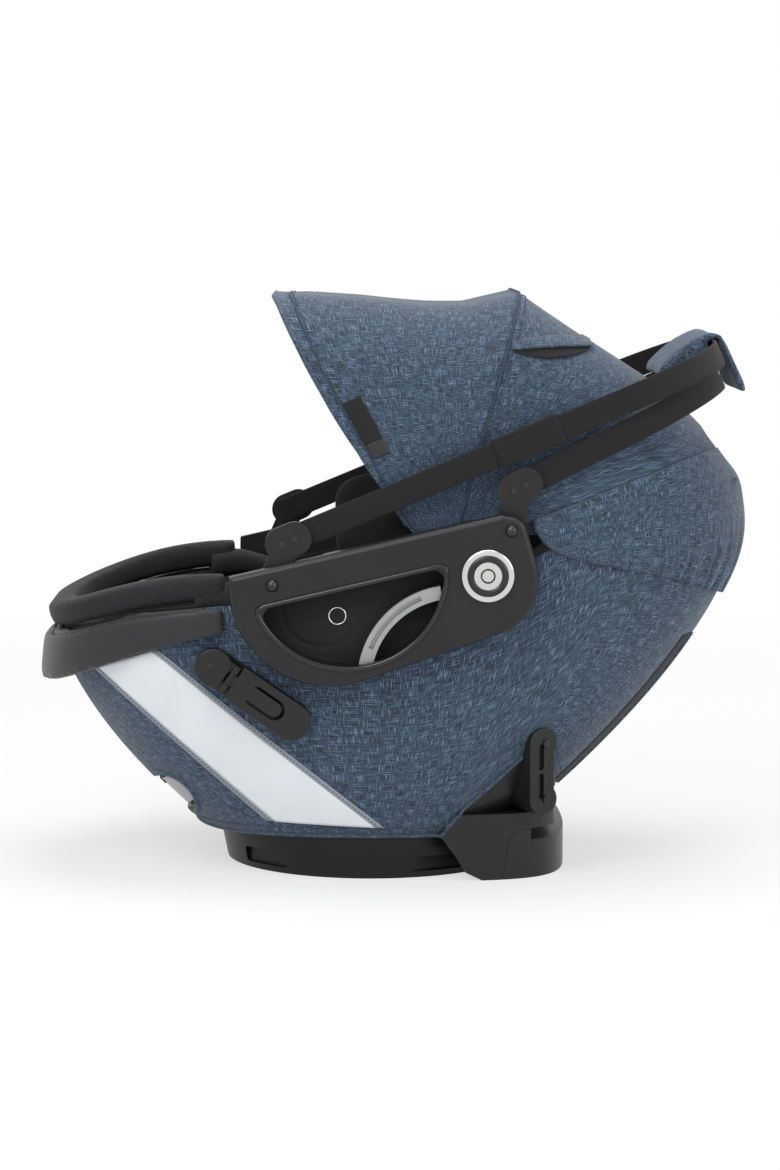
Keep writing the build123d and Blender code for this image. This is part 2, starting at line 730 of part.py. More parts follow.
def canopy_skirt():
    """The elastic-edged cloth that hooks over the shell's head end."""
    hem = [
        (SKIRT_START_X - 30, 372), (SKIRT_START_X, 348), (SKIRT_START_X + 13, 322),
        (SKIRT_START_X + 36, 304), (SKIRT_START_X + 85, 293), (300, 274), (400, 258),
    ]
    band = tub(-1 - SKIRT_THICK) - tub(-1)
    band = (band & over_curve(hem, 0)) - over_rim(2)
    return band & block(SKIRT_START_X, REACH, -REACH, REACH, 0, REACH)


def base_ring():
    """The docking ring: a tapered wall with four recesses and a web that carries the latch rails."""
    top = KEEL_Z - SKIN_GAP
    inner = RING_R - RING_WALL
    profile = Polyline(
        (RING_HOLE_R, top), (RING_R, top), (RING_R, top - 12), (RING_FOOT_R, 0),
        (RING_FOOT_R - RING_WALL + 4, 0), (inner, top - RING_WEB), (RING_HOLE_R, top - RING_WEB), close=True,
    )
    ring = revolve(Plane.XZ * make_face(profile), Axis.Z)
    for turn in (64, 136, 224, 296):
        recess = Box(20, RECESS_LONG, RECESS_HIGH)
        recess = fillet(recess.edges().filter_by(Axis.X), 4)
        ring -= Rot(0, 0, turn) * (Pos(RING_FOOT_R - RECESS_DEEP + 10, 0, RECESS_HIGH / 2 + 6) * recess)
    rail_low = top - RING_WEB - LATCH_HIGH - SKIN_GAP
    rail_long = LATCH_LONG + LATCH_TRAVEL
    for side in (-1, 1):
        for edge in (-1, 1):
            x = side * (latch_out() - rail_long / 2 + LATCH_TRAVEL)
            y = edge * (LATCH_WIDE / 2 + MOVE_GAP + LATCH_RAIL / 2)
            rail = Pos(x, y, (rail_low + top - 1) / 2) * Box(rail_long, LATCH_RAIL, top - 1 - rail_low)
            ring += rail
    return Pos(RING_X, 0, 0) * ring


def latch_out():
    """Radius of a latch's outer end at rest, leaving its travel inside the ring's wall."""
    return RING_FOOT_R - RING_WALL - LATCH_TRAVEL - 2


def latch(side):
    """A sliding latch under the ring's web, bevelled on its inner end where it grips a docking hub."""
    top = KEEL_Z - 2 * SKIN_GAP - RING_WEB
    bar = Box(LATCH_LONG, LATCH_WIDE, LATCH_HIGH)
    nose = bar.edges().filter_by(Axis.Y).group_by(Axis.X)[0].sort_by(Axis.Z)[0]
    bar = chamfer(nose, LATCH_HIGH * 0.6)
    bar = Pos(latch_out() - LATCH_LONG / 2, 0, top - LATCH_HIGH / 2) * bar
    return Pos(RING_X, 0, 0) * Rot(0, 0, 0 if side > 0 else 180) * bar


def heel_body():
    """The black heel: a foot with upright walls and, above it, a skin in the cover's cut-away corner."""
    level = HEEL_TOP_Z
    wide = half_width(level) + HEEL_SKIN
    outline = plan(front_x(level), HEEL_BACK, wide, 0, HEEL_BLUNTNESS)
    foot = extrude(outline, amount=level)
    room = tub(SHELL_INSET - SKIN_GAP)
    foot = foot - room - Pos(0, 0, -SKIN_GAP) * room
    foot -= Pos(RING_X, 0, 0) * Cylinder(RING_R + SKIN_GAP, 2 * KEEL_Z)
    skin = (tub(-HEEL_SKIN) & over_level(level)) - room
    return (foot & heel_side(0)) + (skin & heel_side(0))


def cap_side(gap):
    """Side-view block behind the seam between the heel's cheeks and its cap."""
    return across(make_face(Polyline(
        (105 + gap, -10), (112 + gap, CAP_SEAM_Z - 9 - gap), (121 + gap, CAP_SEAM_Z - gap), (240, CAP_SEAM_Z - gap),
        (240, -10), close=True)))


def heel_left(body):
    cheek = body - cap_side(-SKIN_GAP)
    return cheek & block(-REACH, REACH, -REACH, 0, 0, REACH)


def heel_cap(body):
    cap = body & cap_side(0)
    return cap - block(134, REACH, -REACH, REACH, CAP_HIGH, REACH)


def belt_hook_plane():
    turn = math.radians(BELT_HOOK_TURN)
    return Plane(
        origin=(BELT_HOOK_X, BELT_HOOK_Y, BELT_HOOK_Z),
        x_dir=(math.cos(turn), math.sin(turn), 0), z_dir=(math.sin(turn), -math.cos(turn), 0),
    )


def belt_hook_left():
    """A belt hook with a rounded lobe at each end and two shallow recesses between them."""
    lobe = BELT_HOOK_WIDE / 2
    reach = BELT_HOOK_HIGH / 2 - lobe
    lobes = Pos(0, reach) * Circle(lobe) + Pos(0, -reach) * Circle(lobe)
    spine = Pos(-lobe / 2, 0) * Rectangle(lobe, 2 * reach)
    web = Pos(0, 0) * Rectangle(BELT_HOOK_WIDE * 0.8, 2 * reach)
    outline = lobes + spine + web
    body = Pos(0, 0, -BELT_HOOK_ROOT) * extrude(outline, amount=BELT_HOOK_ROOT + BELT_HOOK_THICK)
    rim = body.edges().group_by(Axis.Z)[-1]
    body = fillet(rim, 1.2)
    recess = SlotOverall(2 * reach * 0.46, 6, rotation=90)
    for side in (-1, 1):
        body -= Pos(-lobe * 0.2, side * reach * 0.52, BELT_HOOK_THICK - 4) * extrude(recess, amount=5)
    return (belt_hook_plane() * body) - tub(-HEEL_SKIN - SKIN_GAP) - over_rim(-60)


def hook_screws():
    lobe = BELT_HOOK_WIDE / 2
    reach = BELT_HOOK_HIGH / 2 - lobe
    heads = []
    for side in (-1, 1):
        head = Pos(lobe * 0.2, side * reach, BELT_HOOK_THICK + SKIN_GAP) * extrude(Circle(4), amount=SCREW_HIGH)
        heads.append(belt_hook_plane() * head)
    return [both(h) for h in heads]


def clip_plane():
    """The belt clip's plane: its x runs down along the clip and its z outwards."""
    turn = math.radians(CLIP_DOWN)
    along = (math.cos(turn), 0, -math.sin(turn))
    return Plane(origin=(CLIP_X, -CLIP_FACE_Y, CLIP_Z), x_dir=along, z_dir=(0, -1, 0))


def clip_knuckle(low, high, radius):
    """A round bar along the clip's hinge line."""
    return Pos(CLIP_HINGE, 0, -CLIP_THICK / 2) * Rot(-90, 0, 0) * Pos(0, 0, low) * extrude(
        Circle(radius), amount=high - low)


def clip_base_left():
    """The fixed half of a belt clip: an end with two hinge knuckles, a backing and the free end's rest."""
    end = Circle(CLIP_R) - Pos(CLIP_HINGE - CLIP_KNUCKLE_R - 1 + 50, 0) * Rectangle(100, 100)
    body = Pos(0, 0, -40) * extrude(end, amount=40)
    top = body.edges().group_by(Axis.Z)[-1]
    body = fillet(top, 1.5)
    for low, high in ((-CLIP_R + 4, -CLIP_R + 12), (CLIP_R - 12, CLIP_R - 4)):
        knuckle = clip_knuckle(low, high, CLIP_KNUCKLE_R)
        web = Pos(CLIP_HINGE / 2 + 3, (low + high) / 2, -CLIP_THICK / 2 - 1) * Box(CLIP_HINGE - 6, high - low, 5)
        body += knuckle + web
    body -= clip_knuckle(-2 * CLIP_R, 2 * CLIP_R, CLIP_PIN_R + PIN_GAP)
    body += Pos(CLIP_LONG + 5, 0, -40) * extrude(Circle(CLIP_PAD_R), amount=40 - CLIP_THICK - MOVE_GAP)
    outline = Pos(CLIP_LONG / 2, 0) * SlotCenterToCenter(CLIP_LONG, 2 * CLIP_R)
    backing = clip_plane() * (Pos(0, 0, -40) * extrude(outline, amount=40))
    return (clip_plane() * body + (backing & tub(-SKIN_GAP - CLIP_BACKING))) - tub(-SKIN_GAP)


def clip_arm_left():
    """The hinged half of a belt clip: a plate with a long slot."""
    plate = Pos((CLIP_HINGE + CLIP_LONG) / 2, 0) * Rectangle(CLIP_LONG - CLIP_HINGE, 2 * CLIP_R)
    plate += Pos(CLIP_LONG, 0) * Circle(CLIP_R)
    plate -= Pos(CLIP_HINGE - 50 + CLIP_KNUCKLE_R + 1, 0) * Rectangle(100, 100)
    slot = Pos(CLIP_LONG * 0.66, 0) * SlotOverall(CLIP_LONG * 0.46, CLIP_R * 1.1)
    slot -= Pos(CLIP_LONG * 0.62, 0) * SlotOverall(CLIP_LONG * 0.46, CLIP_R * 0.8)
    body = Pos(0, 0, -CLIP_THICK) * extrude(plate - slot, amount=CLIP_THICK)
    top = body.faces().sort_by(Axis.Z)[-1].outer_wire().edges()
    body = fillet(top, 1.2)
    knuckle = clip_knuckle(-CLIP_R + 12 + MOVE_GAP, CLIP_R - 12 - MOVE_GAP, CLIP_KNUCKLE_R - 0.4)
    web = Pos(CLIP_HINGE + 4, 0, -CLIP_THICK / 2) * Box(8, 2 * (CLIP_R - 12 - MOVE_GAP), 4)
    body += knuckle + web
    body -= clip_knuckle(-2 * CLIP_R, 2 * CLIP_R, CLIP_PIN_R + PIN_GAP)
    return clip_plane() * body


def clip_pins():
    return both(clip_plane() * clip_knuckle(-CLIP_R + 4.5, CLIP_R - 4.5, CLIP_PIN_R))


def clip_screws():
    head = Pos(-4, 0, SKIN_GAP) * extrude(Circle(SCREW_R), amount=SCREW_HIGH)
    return [both(clip_plane() * head)]


def lever_axis():
    """The lever's hinge line in side view, in the middle of its plate's thickness."""
    plane = foot_wall_plane()
    slope = math.hypot(foot_lean(LEVER_Z), 1)
    deep = (LEVER_INSET + LEVER_THICK / 2) / slope + 2
    spot = plane.from_local_coords(Vector(0, LEVER_PIVOT_UP, -deep))
    return spot.X, spot.Z


def lever_housing():
    """A cup behind the opening in the foot wall, with two ribs for the lever's pin."""
    back = LINER_INSET + LINER_THICK - SKIN_GAP
    front = SHELL_INSET
    cup = (tub(front) - tub(back)) & lever_window(SKIN_GAP)
    hollow = tub(front) - tub(back - HOUSING_WALL * 1.3)
    hollow = hollow & lever_window(SKIN_GAP + HOUSING_WALL)
    cup -= hollow
    x, z = lever_axis()
    for side in (-1, 1):
        y = side * (LEVER_LUG_HALF + MOVE_GAP + LEVER_RIB / 2)
        rib = rod(x, z, LEVER_PIN_R + 3, y - LEVER_RIB / 2, y + LEVER_RIB / 2)
        rib += Pos(x + 6, y, z + 4) * Box(12, LEVER_RIB, 8)
        cup += rib & tub(SHELL_INSET) - tub(back - 1)
    return cup - rod(x, z, LEVER_PIN_R + PIN_GAP, -REACH, REACH)


def release_lever():
    """A curved silver plate that follows the foot wall, hinged near its upper edge."""
    plate = tub(LEVER_INSET) - tub(LEVER_INSET + LEVER_THICK)
    plate &= lever_window(LEVER_EDGE)
    x, z = lever_axis()
    for side in (-1, 1):
        y = side * (LEVER_LUG_HALF + MOVE_GAP + LEVER_RIB / 2)
        half = LEVER_RIB / 2 + MOVE_GAP
        plate -= rod(x, z, LEVER_PIN_R + 3 + MOVE_GAP, y - half, y + half)
        plate -= Pos(x + 6, y, z + 4) * Box(14, 2 * half, 10)
    plate += rod(x, z, LEVER_PIN_R + 2, -LEVER_LUG_HALF, LEVER_LUG_HALF)
    return plate - rod(x, z, LEVER_PIN_R + PIN_GAP, -REACH, REACH)


def lever_pin():
    x, z = lever_axis()
    half = LEVER_LUG_HALF + MOVE_GAP + LEVER_RIB
    return rod(x, z, LEVER_PIN_R, -half, half)


STRAP_LOW = SKIN_GAP
STRAP_HIGH = SKIN_GAP + HARNESS_THICK
BUCKLE_BACK = BUCKLE_X + BUCKLE_LONG / 2


def harness_left():
    y = -HARNESS_Y
    half = HARNESS_WIDE / 2
    return on_seat(BUCKLE_BACK + 12, HARNESS_TOP_X, y - half, y + half, STRAP_LOW, STRAP_HIGH)


def shoulder_pad_left():
    y = -HARNESS_Y
    half = HARNESS_WIDE / 2 + 5
    low = CHEST_X + CHEST_LONG + 3
    return on_seat(low, low + SHOULDER_LONG, y - half, y + half,
                   STRAP_HIGH + SKIN_GAP, STRAP_HIGH + SKIN_GAP + SHOULDER_THICK)


def crotch_strap():
    front = BUCKLE_X - BUCKLE_LONG / 2
    return on_seat(front - 34, front - SKIN_GAP, -19, 19, STRAP_LOW, STRAP_HIGH)


def buckle_floor():
    """Height of the buckle's underside: clear of the pad under its whole length."""
    return SEAT_LOW_Z + SEAT_FACE + 3


def buckle_body():
    low = buckle_floor()
    body = block(BUCKLE_X - BUCKLE_LONG / 2, BUCKLE_BACK, -BUCKLE_WIDE / 2, BUCKLE_WIDE / 2, low, low + BUCKLE_HIGH)
    body = fillet(body.edges().filter_by(Axis.Z), 9)
    body = fillet(body.edges().group_by(Axis.Z)[-1], 3)
    body -= over_seat(-REACH) - over_seat(SEAT_FACE + SKIN_GAP)
    well = button_block(MOVE_GAP, low + BUCKLE_HIGH - BUTTON_DEEP - BUTTON_TRAVEL - 1, low + 2 * BUCKLE_HIGH)
    mouth_z = low + 5
    for side in (-1, 1):
        y = side * 11
        mouth = block(BUCKLE_BACK - 12, BUCKLE_BACK + 1, y - 7.5, y + 7.5, mouth_z - SKIN_GAP,
                      mouth_z + TONGUE_THICK + SKIN_GAP)
        body -= mouth
    return body - well


def button_block(grow, low, high):
    half_long, half_wide = BUTTON_LONG / 2 + grow, BUTTON_WIDE / 2 + grow
    x = BUCKLE_X - 4
    button = block(x - half_long, x + half_long, -half_wide, half_wide, low, high)
    return fillet(button.edges().filter_by(Axis.Z), 4)


def buckle_button():
    top = buckle_floor() + BUCKLE_HIGH + BUTTON_PROUD
    button = button_block(0, top - BUTTON_DEEP, top)
    return fillet(button.edges().group_by(Axis.Z)[-1], 1.2)


def buckle_tongue_left():
    """A flat metal tongue from the buckle's mouth out to the end of a shoulder strap."""
    low = buckle_floor() + 5
    blade = block(BUCKLE_BACK - 10, BUCKLE_BACK + 6, -18, -4, low, low + TONGUE_THICK)
    outline = Polyline((BUCKLE_BACK + 2, -4), (BUCKLE_BACK + 11, -30), (BUCKLE_BACK + 11, -58),
                       (BUCKLE_BACK + 3, -58), (BUCKLE_BACK + 1, -18), close=True)
    wing = Pos(0, 0, low) * extrude(make_face(outline), amount=TONGUE_THICK)
    return (blade + wing) & over_seat(SEAT_FACE + SKIN_GAP)


def chest_clip():
    """The chest clip, closed, over both shoulder straps, with the groove between its halves."""
    low = STRAP_HIGH + SKIN_GAP
    high = low + CHEST_THICK
    body = on_seat(CHEST_X, CHEST_X + CHEST_LONG, -HARNESS_Y - 15, HARNESS_Y + 15, low, high)
    body = fillet(body.edges().filter_by(Axis.Z), 8)
    groove = on_seat(CHEST_X - 1, CHEST_X + CHEST_LONG + 1, -1, 1, high - 2, high + 2)
    return body - groove


def adjuster_housing():
    low, high = ADJUST_X - ADJUST_LONG / 2, ADJUST_X + ADJUST_LONG / 2
    body = on_seat(low, high, -ADJUST_WIDE / 2, ADJUST_WIDE / 2, STRAP_HIGH + SKIN_GAP, STRAP_HIGH + ADJUST_HIGH)
    body = fillet(body.edges().filter_by(Axis.Z), 7)
    well = adjuster_block(MOVE_GAP)
    return body - (well & over_seat(SEAT_FACE + STRAP_HIGH + 3))


def adjuster_block(grow):
    half_long, half_wide = ADJUST_LONG * 0.26 + grow, ADJUST_WIDE * 0.28 + grow
    body = block(ADJUST_X - half_long, ADJUST_X + half_long, -half_wide, half_wide, 0, REACH)
    return fillet(body.edges().filter_by(Axis.Z), 3)


def adjuster_button():
    low = STRAP_HIGH + 3 + BUTTON_TRAVEL
    high = STRAP_HIGH + ADJUST_HIGH + BUTTON_PROUD
    return adjuster_block(0) & (over_seat(SEAT_FACE + low) - over_seat(SEAT_FACE + high))


def adjuster_strap():
    """The webbing tail under the adjuster, running to the foot end."""
    strap = on_seat(-280, ADJUST_X + ADJUST_LONG / 2, -12.5, 12.5, STRAP_LOW, STRAP_HIGH)
    return strap & tub(CAVITY_INSET + SKIN_GAP)


def left_and_right(shape, name):
    """Writes a left piece and its mirror image."""
    export_step(shape, f"parts/{name}_left.step")
    export_step(mirror(shape, about=Plane.XZ), f"parts/{name}_right.step")


def together(shapes):
    return Compound(children=shapes)


os.makedirs("parts", exist_ok=True)

export_step(seat_shell(), "parts/seat_shell.step")
export_step(shell_cover(), "parts/shell_cover.step")
export_step(foam_liner(), "parts/foam_liner.step")
export_step(seat_pad(), "parts/seat_pad.step")
export_step(foot_bumper(), "parts/foot_bumper.step")
export_step(rim_roll(), "parts/rim_roll.step")
export_step(head_support(), "parts/head_support.step")
export_step(base_ring(), "parts/base_ring.step")
heel = heel_body()
export_step(heel_cap(heel), "parts/heel_cap.step")
export_step(latch(-1), "parts/latch_front.step")
export_step(latch(1), "parts/latch_rear.step")
left_and_right(heel_left(heel), "heel")
left_and_right(belt_hook_left(), "belt_hook")
left_and_right(side_frame_left(), "side_frame")
left_and_right(belt_guide_left(), "belt_guide")
left_and_right(hub_cap_left(), "hub_cap")

left_and_right(front_arm_left(), "front_arm")
left_and_right(rear_arm_left(), "rear_arm")
export_step(front_arm_screws(), "parts/front_arm_screws.step")
export_step(rear_arm_screws(), "parts/rear_arm_screws.step")
export_step(front_strap(), "parts/front_strap.step")
export_step(rear_strap(), "parts/rear_strap.step")
export_step(strap_keepers(), "parts/strap_keepers.step")
export_step(grip_wrap(), "parts/grip_wrap.step")
export_step(grip_hook(), "parts/grip_hook.step")
export_step(handle_pins(), "parts/handle_pins.step")

export_step(canopy_visor(), "parts/canopy_visor.step")
export_step(canopy_top(), "parts/canopy_top.step")
export_step(canopy_skirt(), "parts/canopy_skirt.step")
export_step(canopy_bow_front(), "parts/canopy_bow_front.step")
export_step(canopy_bow_mid(), "parts/canopy_bow_mid.step")
export_step(canopy_pins(), "parts/canopy_pins.step")

export_step(lever_housing(), "parts/lever_housing.step")
export_step(release_lever(), "parts/release_lever.step")
export_step(lever_pin(), "parts/lever_pin.step")

left_and_right(clip_base_left(), "clip_base")
left_and_right(clip_arm_left(), "clip_arm")
export_step(clip_pins(), "parts/clip_pins.step")
export_step(together(hook_screws() + clip_screws()), "parts/body_screws.step")

left_and_right(harness_left(), "harness")
left_and_right(shoulder_pad_left(), "shoulder_pad")
export_step(crotch_strap(), "parts/crotch_strap.step")
export_step(buckle_body(), "parts/buckle_body.step")
export_step(buckle_button(), "parts/buckle_button.step")
export_step(both(buckle_tongue_left()), "parts/buckle_tongues.step")
export_step(chest_clip(), "parts/chest_clip.step")
export_step(adjuster_housing(), "parts/adjuster_housing.step")
export_step(adjuster_button(), "parts/adjuster_button.step")
export_step(adjuster_strap(), "parts/adjuster_strap.step")
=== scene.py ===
# %% [markdown]
# # Infant car seat
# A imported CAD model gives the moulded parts, the pins and the joints. This file gives them their finishes and
# sews the soft parts around them: the shell's cover, the canopy, the pads and the webbing. Every new piece is
# drawn in metres in the CAD model's own frame, with X to the head end, Y across and Z up.

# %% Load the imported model
import json
import math

import bmesh
import bpy
from mathutils import Matrix, Vector, noise
from mathutils.bvhtree import BVHTree


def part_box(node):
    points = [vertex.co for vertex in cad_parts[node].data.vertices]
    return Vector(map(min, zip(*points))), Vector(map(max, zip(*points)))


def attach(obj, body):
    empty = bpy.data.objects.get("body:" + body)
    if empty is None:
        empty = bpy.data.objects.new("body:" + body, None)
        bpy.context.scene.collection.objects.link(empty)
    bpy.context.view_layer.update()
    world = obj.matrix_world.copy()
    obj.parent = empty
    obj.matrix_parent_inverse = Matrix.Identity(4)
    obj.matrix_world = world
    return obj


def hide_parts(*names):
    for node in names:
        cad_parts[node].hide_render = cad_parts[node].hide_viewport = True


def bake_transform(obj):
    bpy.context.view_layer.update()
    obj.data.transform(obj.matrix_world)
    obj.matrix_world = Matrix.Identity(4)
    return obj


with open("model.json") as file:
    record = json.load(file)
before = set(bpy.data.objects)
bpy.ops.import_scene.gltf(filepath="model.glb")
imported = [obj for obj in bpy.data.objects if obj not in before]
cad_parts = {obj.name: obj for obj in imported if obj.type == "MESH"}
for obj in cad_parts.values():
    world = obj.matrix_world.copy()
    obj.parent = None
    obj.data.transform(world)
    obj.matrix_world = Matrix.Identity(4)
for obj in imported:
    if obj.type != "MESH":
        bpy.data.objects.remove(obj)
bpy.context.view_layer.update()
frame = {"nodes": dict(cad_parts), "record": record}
nodes = frame["nodes"]
scene = bpy.context.scene
scene.view_settings.view_transform = "Standard"
MM = 0.001

# %% [markdown]
# ## Finishes
# Each finish starts from the real material. Colours are written as screen colours and turned to the linear
# values that Blender works with. One helper adds a node, sets its sockets and makes its links, so that a
# material reads as a short list of steps.


# %% Colour and node helpers
def linear(code):
    """A screen colour such as #2B2B2D as linear red, green, blue and alpha."""
    parts = [int(code[i:i + 2], 16) / 255 for i in (1, 3, 5)]
    return [p / 12.92 if p <= 0.04045 else ((p + 0.055) / 1.055) ** 2.4 for p in parts] + [1.0]


def add(tree, kind, sockets=(), stops=(), **settings):
    """Adds a shader node. A socket's value is a number, a colour or the socket to link from."""
    node = tree.nodes.new("ShaderNode" + kind)
    for name, value in settings.items():
        setattr(node, name, value)
    for name, value in dict(sockets).items():
        if isinstance(value, bpy.types.NodeSocket):
            tree.links.new(value, node.inputs[name])
        else:
            node.inputs[name].default_value = value
    for place, colour in stops:
        spots = node.color_ramp.elements
        spot = spots[0] if place == 0 else spots[-1] if place == 1 else spots.new(place)
        spot.color = linear(colour)
    return node


def finish(name, **sockets):
    """A new material and its node tree, with fixed values set on the shader's own sockets."""
    material = bpy.data.materials.new(name)
    material.use_nodes = True
    shader = material.node_tree.nodes["Principled BSDF"]
    for key, value in sockets.items():
        shader.inputs[key.replace("_", " ").title().replace("Ior", "IOR")].default_value = value
    return material, material.node_tree, shader


def coat(tree, shader, amount, stops, height, strength, relief):
    """Links a ramp of colours over amount, and a bump made from height, to a shader."""
    colours = add(tree, "ValToRGB", {"Fac": amount}, stops=stops)
    tree.links.new(colours.outputs[0], shader.inputs["Base Color"])
    bump = add(tree, "Bump", {"Height": height, "Strength": strength, "Distance": relief})
    tree.links.new(bump.outputs[0], shader.inputs["Normal"])


# %% [markdown]
# The cover and the canopy are a melange weave: polyester yarns dyed in several blues, spun with thick and thin
# places. From a step away the eye sees short streaks along both thread directions, so two stretched noises
# stand for warp and weft. Real yarn is about 0.4 mm wide, and the streaks are drawn 0.6 mm wide to show in a
# render. At each point the higher of the two threads shows, as it does where one passes over the other.


# %% Melange cloth
YARN = 0.6 * MM
SLUB = 11 * MM          # length of a thick place in the yarn
YARN_RELIEF = 0.4 * MM
SHOWN_LOW, SHOWN_HIGH = 0.42, 0.72      # the part of the noise's range that the blues are spread over
BLUES = ((0, "#121A23"), (0.34, "#293746"), (0.60, "#43586F"), (1, "#7D92AB"))


def melange(name, coordinates):
    """The blue weave, laid out by a panel's UV or by the place on a stuffed piece."""
    material, tree, shader = finish(name, roughness=0.92, sheen_weight=0.2, sheen_roughness=0.5)
    place = add(tree, "TexCoord").outputs[coordinates]
    flat = coordinates == "UV"
    warp_scale = (1 / SLUB, 1 / YARN, 1 / YARN)
    weft_scale = (1 / YARN, 1 / SLUB, 1 / SLUB) if flat else (1 / YARN, 1 / YARN, 1 / SLUB)
    streaks = []
    for scale in (warp_scale, weft_scale):
        stretch = add(tree, "Mapping", {"Vector": place, "Scale": scale})
        streaks.append(add(tree, "TexNoise", {"Vector": stretch.outputs[0], "Scale": 1, "Detail": 2}).outputs[0])
    weave = add(tree, "Math", {0: streaks[0], 1: streaks[1]}, operation="MAXIMUM").outputs[0]
    spread = add(tree, "MapRange", {"Value": weave, "From Min": SHOWN_LOW, "From Max": SHOWN_HIGH}).outputs[0]
    coat(tree, shader, spread, BLUES, spread, 0.35, YARN_RELIEF)
    return material


blue_cloth = melange("melange_cloth", "UV")
blue_wrap = melange("melange_wrap", "Object")

# %% [markdown]
# Black knit covers the pads. Webbing is woven from thick black yarn with ribs across it. The moulded parts are
# black polypropylene with a fine spark-eroded grain, and the foot bumper is a soft grey elastomer. Plain metals
# are chromed, painted silver or left as dark steel.


# %% Dark cloth, webbing, thread and painted seam shade
WAVE_UNIT = 0.314       # a wave texture repeats every 2 pi / 20 units of its scaled vector


def dark_cloth(name, coordinates, low, high, grain, rib):
    """A dark cloth with a fine grain of yarn and, on webbing, ribs across its length."""
    material, tree, shader = finish(name, roughness=0.9, sheen_weight=0.04)
    place = add(tree, "TexCoord").outputs[coordinates]
    fine = add(tree, "TexNoise", {"Vector": place, "Scale": 1 / grain, "Detail": 3}).outputs[0]
    height = fine
    if rib:
        ribs = add(tree, "TexWave", {"Vector": place, "Scale": WAVE_UNIT / rib, "Distortion": 0.4})
        height = add(tree, "Math", {0: fine, 1: ribs.outputs["Fac"]}, operation="ADD").outputs[0]
    coat(tree, shader, fine, ((0, low), (1, high)), height, 0.45, YARN_RELIEF)
    return material


black_knit = dark_cloth("black_knit", "Object", "#0E0E10", "#232326", 1.6 * MM, 0)
black_sheet = dark_cloth("black_sheet", "UV", "#0C0C0E", "#1E1E21", 1.6 * MM, 0)
webbing = dark_cloth("black_webbing", "UV", "#070708", "#161617", 0.9 * MM, 2.2 * MM)
webbing_solid = dark_cloth("black_elastic", "Object", "#070708", "#161617", 0.9 * MM, 0)
# This dark blue draws the stitches, which are real thread, and two seam lines on the canopy, where it is painted
# shade.
thread_and_seam_shade = dark_cloth("blue_thread_and_seam_shade", "Object", "#1F2A38", "#3C4E66", 0.8 * MM, 0)


# %% Moulded, painted and plated finishes
COLOUR_DRIFT = 45 * MM
GLOSS_DRIFT = 0.07
GRAIN_RELIEF = 0.2 * MM


def grained(name, low, high, rough, grain, strength, **sockets):
    """A moulded or coated surface: a little colour drift, and a grain in its gloss and its relief."""
    material, tree, shader = finish(name, **sockets)
    place = add(tree, "TexCoord").outputs["Object"]
    drift = add(tree, "TexNoise", {"Vector": place, "Scale": 1 / COLOUR_DRIFT, "Detail": 4}).outputs[0]
    fine = add(tree, "TexNoise", {"Vector": place, "Scale": 1 / grain, "Detail": 2}).outputs[0]
    gloss = add(tree, "MapRange", {"Value": fine, "To Min": rough - GLOSS_DRIFT, "To Max": rough + GLOSS_DRIFT})
    tree.links.new(gloss.outputs[0], shader.inputs["Roughness"])
    coat(tree, shader, drift, ((0, low), (1, high)), fine, strength, GRAIN_RELIEF)
    return material


black_plastic = grained("black_polypropylene", "#131314", "#1C1C1E", 0.38, 1.0 * MM, 0.12, ior=1.49,
                        specular_ior_level=0.4)
# A darker black for the base ring: painted shade, since the low ring gets less light than the parts above it.
shaded_ring_black = grained("black_with_painted_shade", "#090909", "#101011", 0.4, 1.0 * MM, 0.1, specular_ior_level=0.3)
gloss_black = grained("gloss_black_bezel", "#101012", "#1A1A1C", 0.16, 3.0 * MM, 0.02, ior=1.5)
soft_grey = grained("soft_grey_elastomer", "#232325", "#2D2D2F", 0.5, 1.2 * MM, 0.15, sheen_weight=0.1,
                    specular_ior_level=0.35)
chrome = grained("chrome_plate", "#C9C9C8", "#DEDEDC", 0.13, 5.0 * MM, 0.02, metallic=1.0)
silver = grained("silver_paint", "#8F9091", "#B2B3B3", 0.36, 0.8 * MM, 0.1, metallic=0.45)
dark_steel = grained("dark_steel", "#2C2C2E", "#4A4A4C", 0.34, 1.5 * MM, 0.06, metallic=0.9)
red_plastic = grained("red_acetal", "#B3231E", "#C93129", 0.25, 2.0 * MM, 0.05, ior=1.48)
red_wire = grained("red_coated_wire", "#CF3B32", "#E0564A", 0.3, 1.0 * MM, 0.08, ior=1.48)
pale_vinyl = grained("pale_vinyl", "#D6DADF", "#E6E9EC", 0.45, 1.4 * MM, 0.08, ior=1.5)
grey_vinyl = grained("grey_vinyl", "#7F8791", "#949CA6", 0.5, 1.4 * MM, 0.08, ior=1.5)

SLOT_FINISH = {
    "blue_fabric": blue_wrap, "black_fabric": black_knit, "foam": black_knit, "black_plastic": black_plastic,
    "grey_soft": soft_grey, "chrome": chrome, "silver": silver, "steel": dark_steel, "webbing": webbing_solid,
    "red_plastic": red_plastic, "red_wire": red_wire,
}
for entry in frame["record"]["subparts"]:
    nodes[entry["node"]].data.materials[0] = SLOT_FINISH[entry["material_slot"]]
# The base ring takes the darker black as painted shade.
nodes["base_ring"].data.materials[0] = shaded_ring_black
print("finishes:", len(bpy.data.materials))

# %% [markdown]
# ## Helpers for sewn pieces
# A panel of cloth starts as a flat grid. Each of its points has a place across and along the panel, which also
# becomes its UV in metres so that the weave follows the cloth. The grid is then laid on the form it covers.


# %% Panel and object helpers
SIDES = ((-1, "left"), (1, "right"))


def set_uv(bm, uv_of):
    """Writes each point's place on the cloth, in metres, as its UV."""
    layer = bm.loops.layers.uv.new("cloth")
    for face in bm.faces:
        for loop in face.loops:
            loop[layer].uv = uv_of(loop.vert.co)


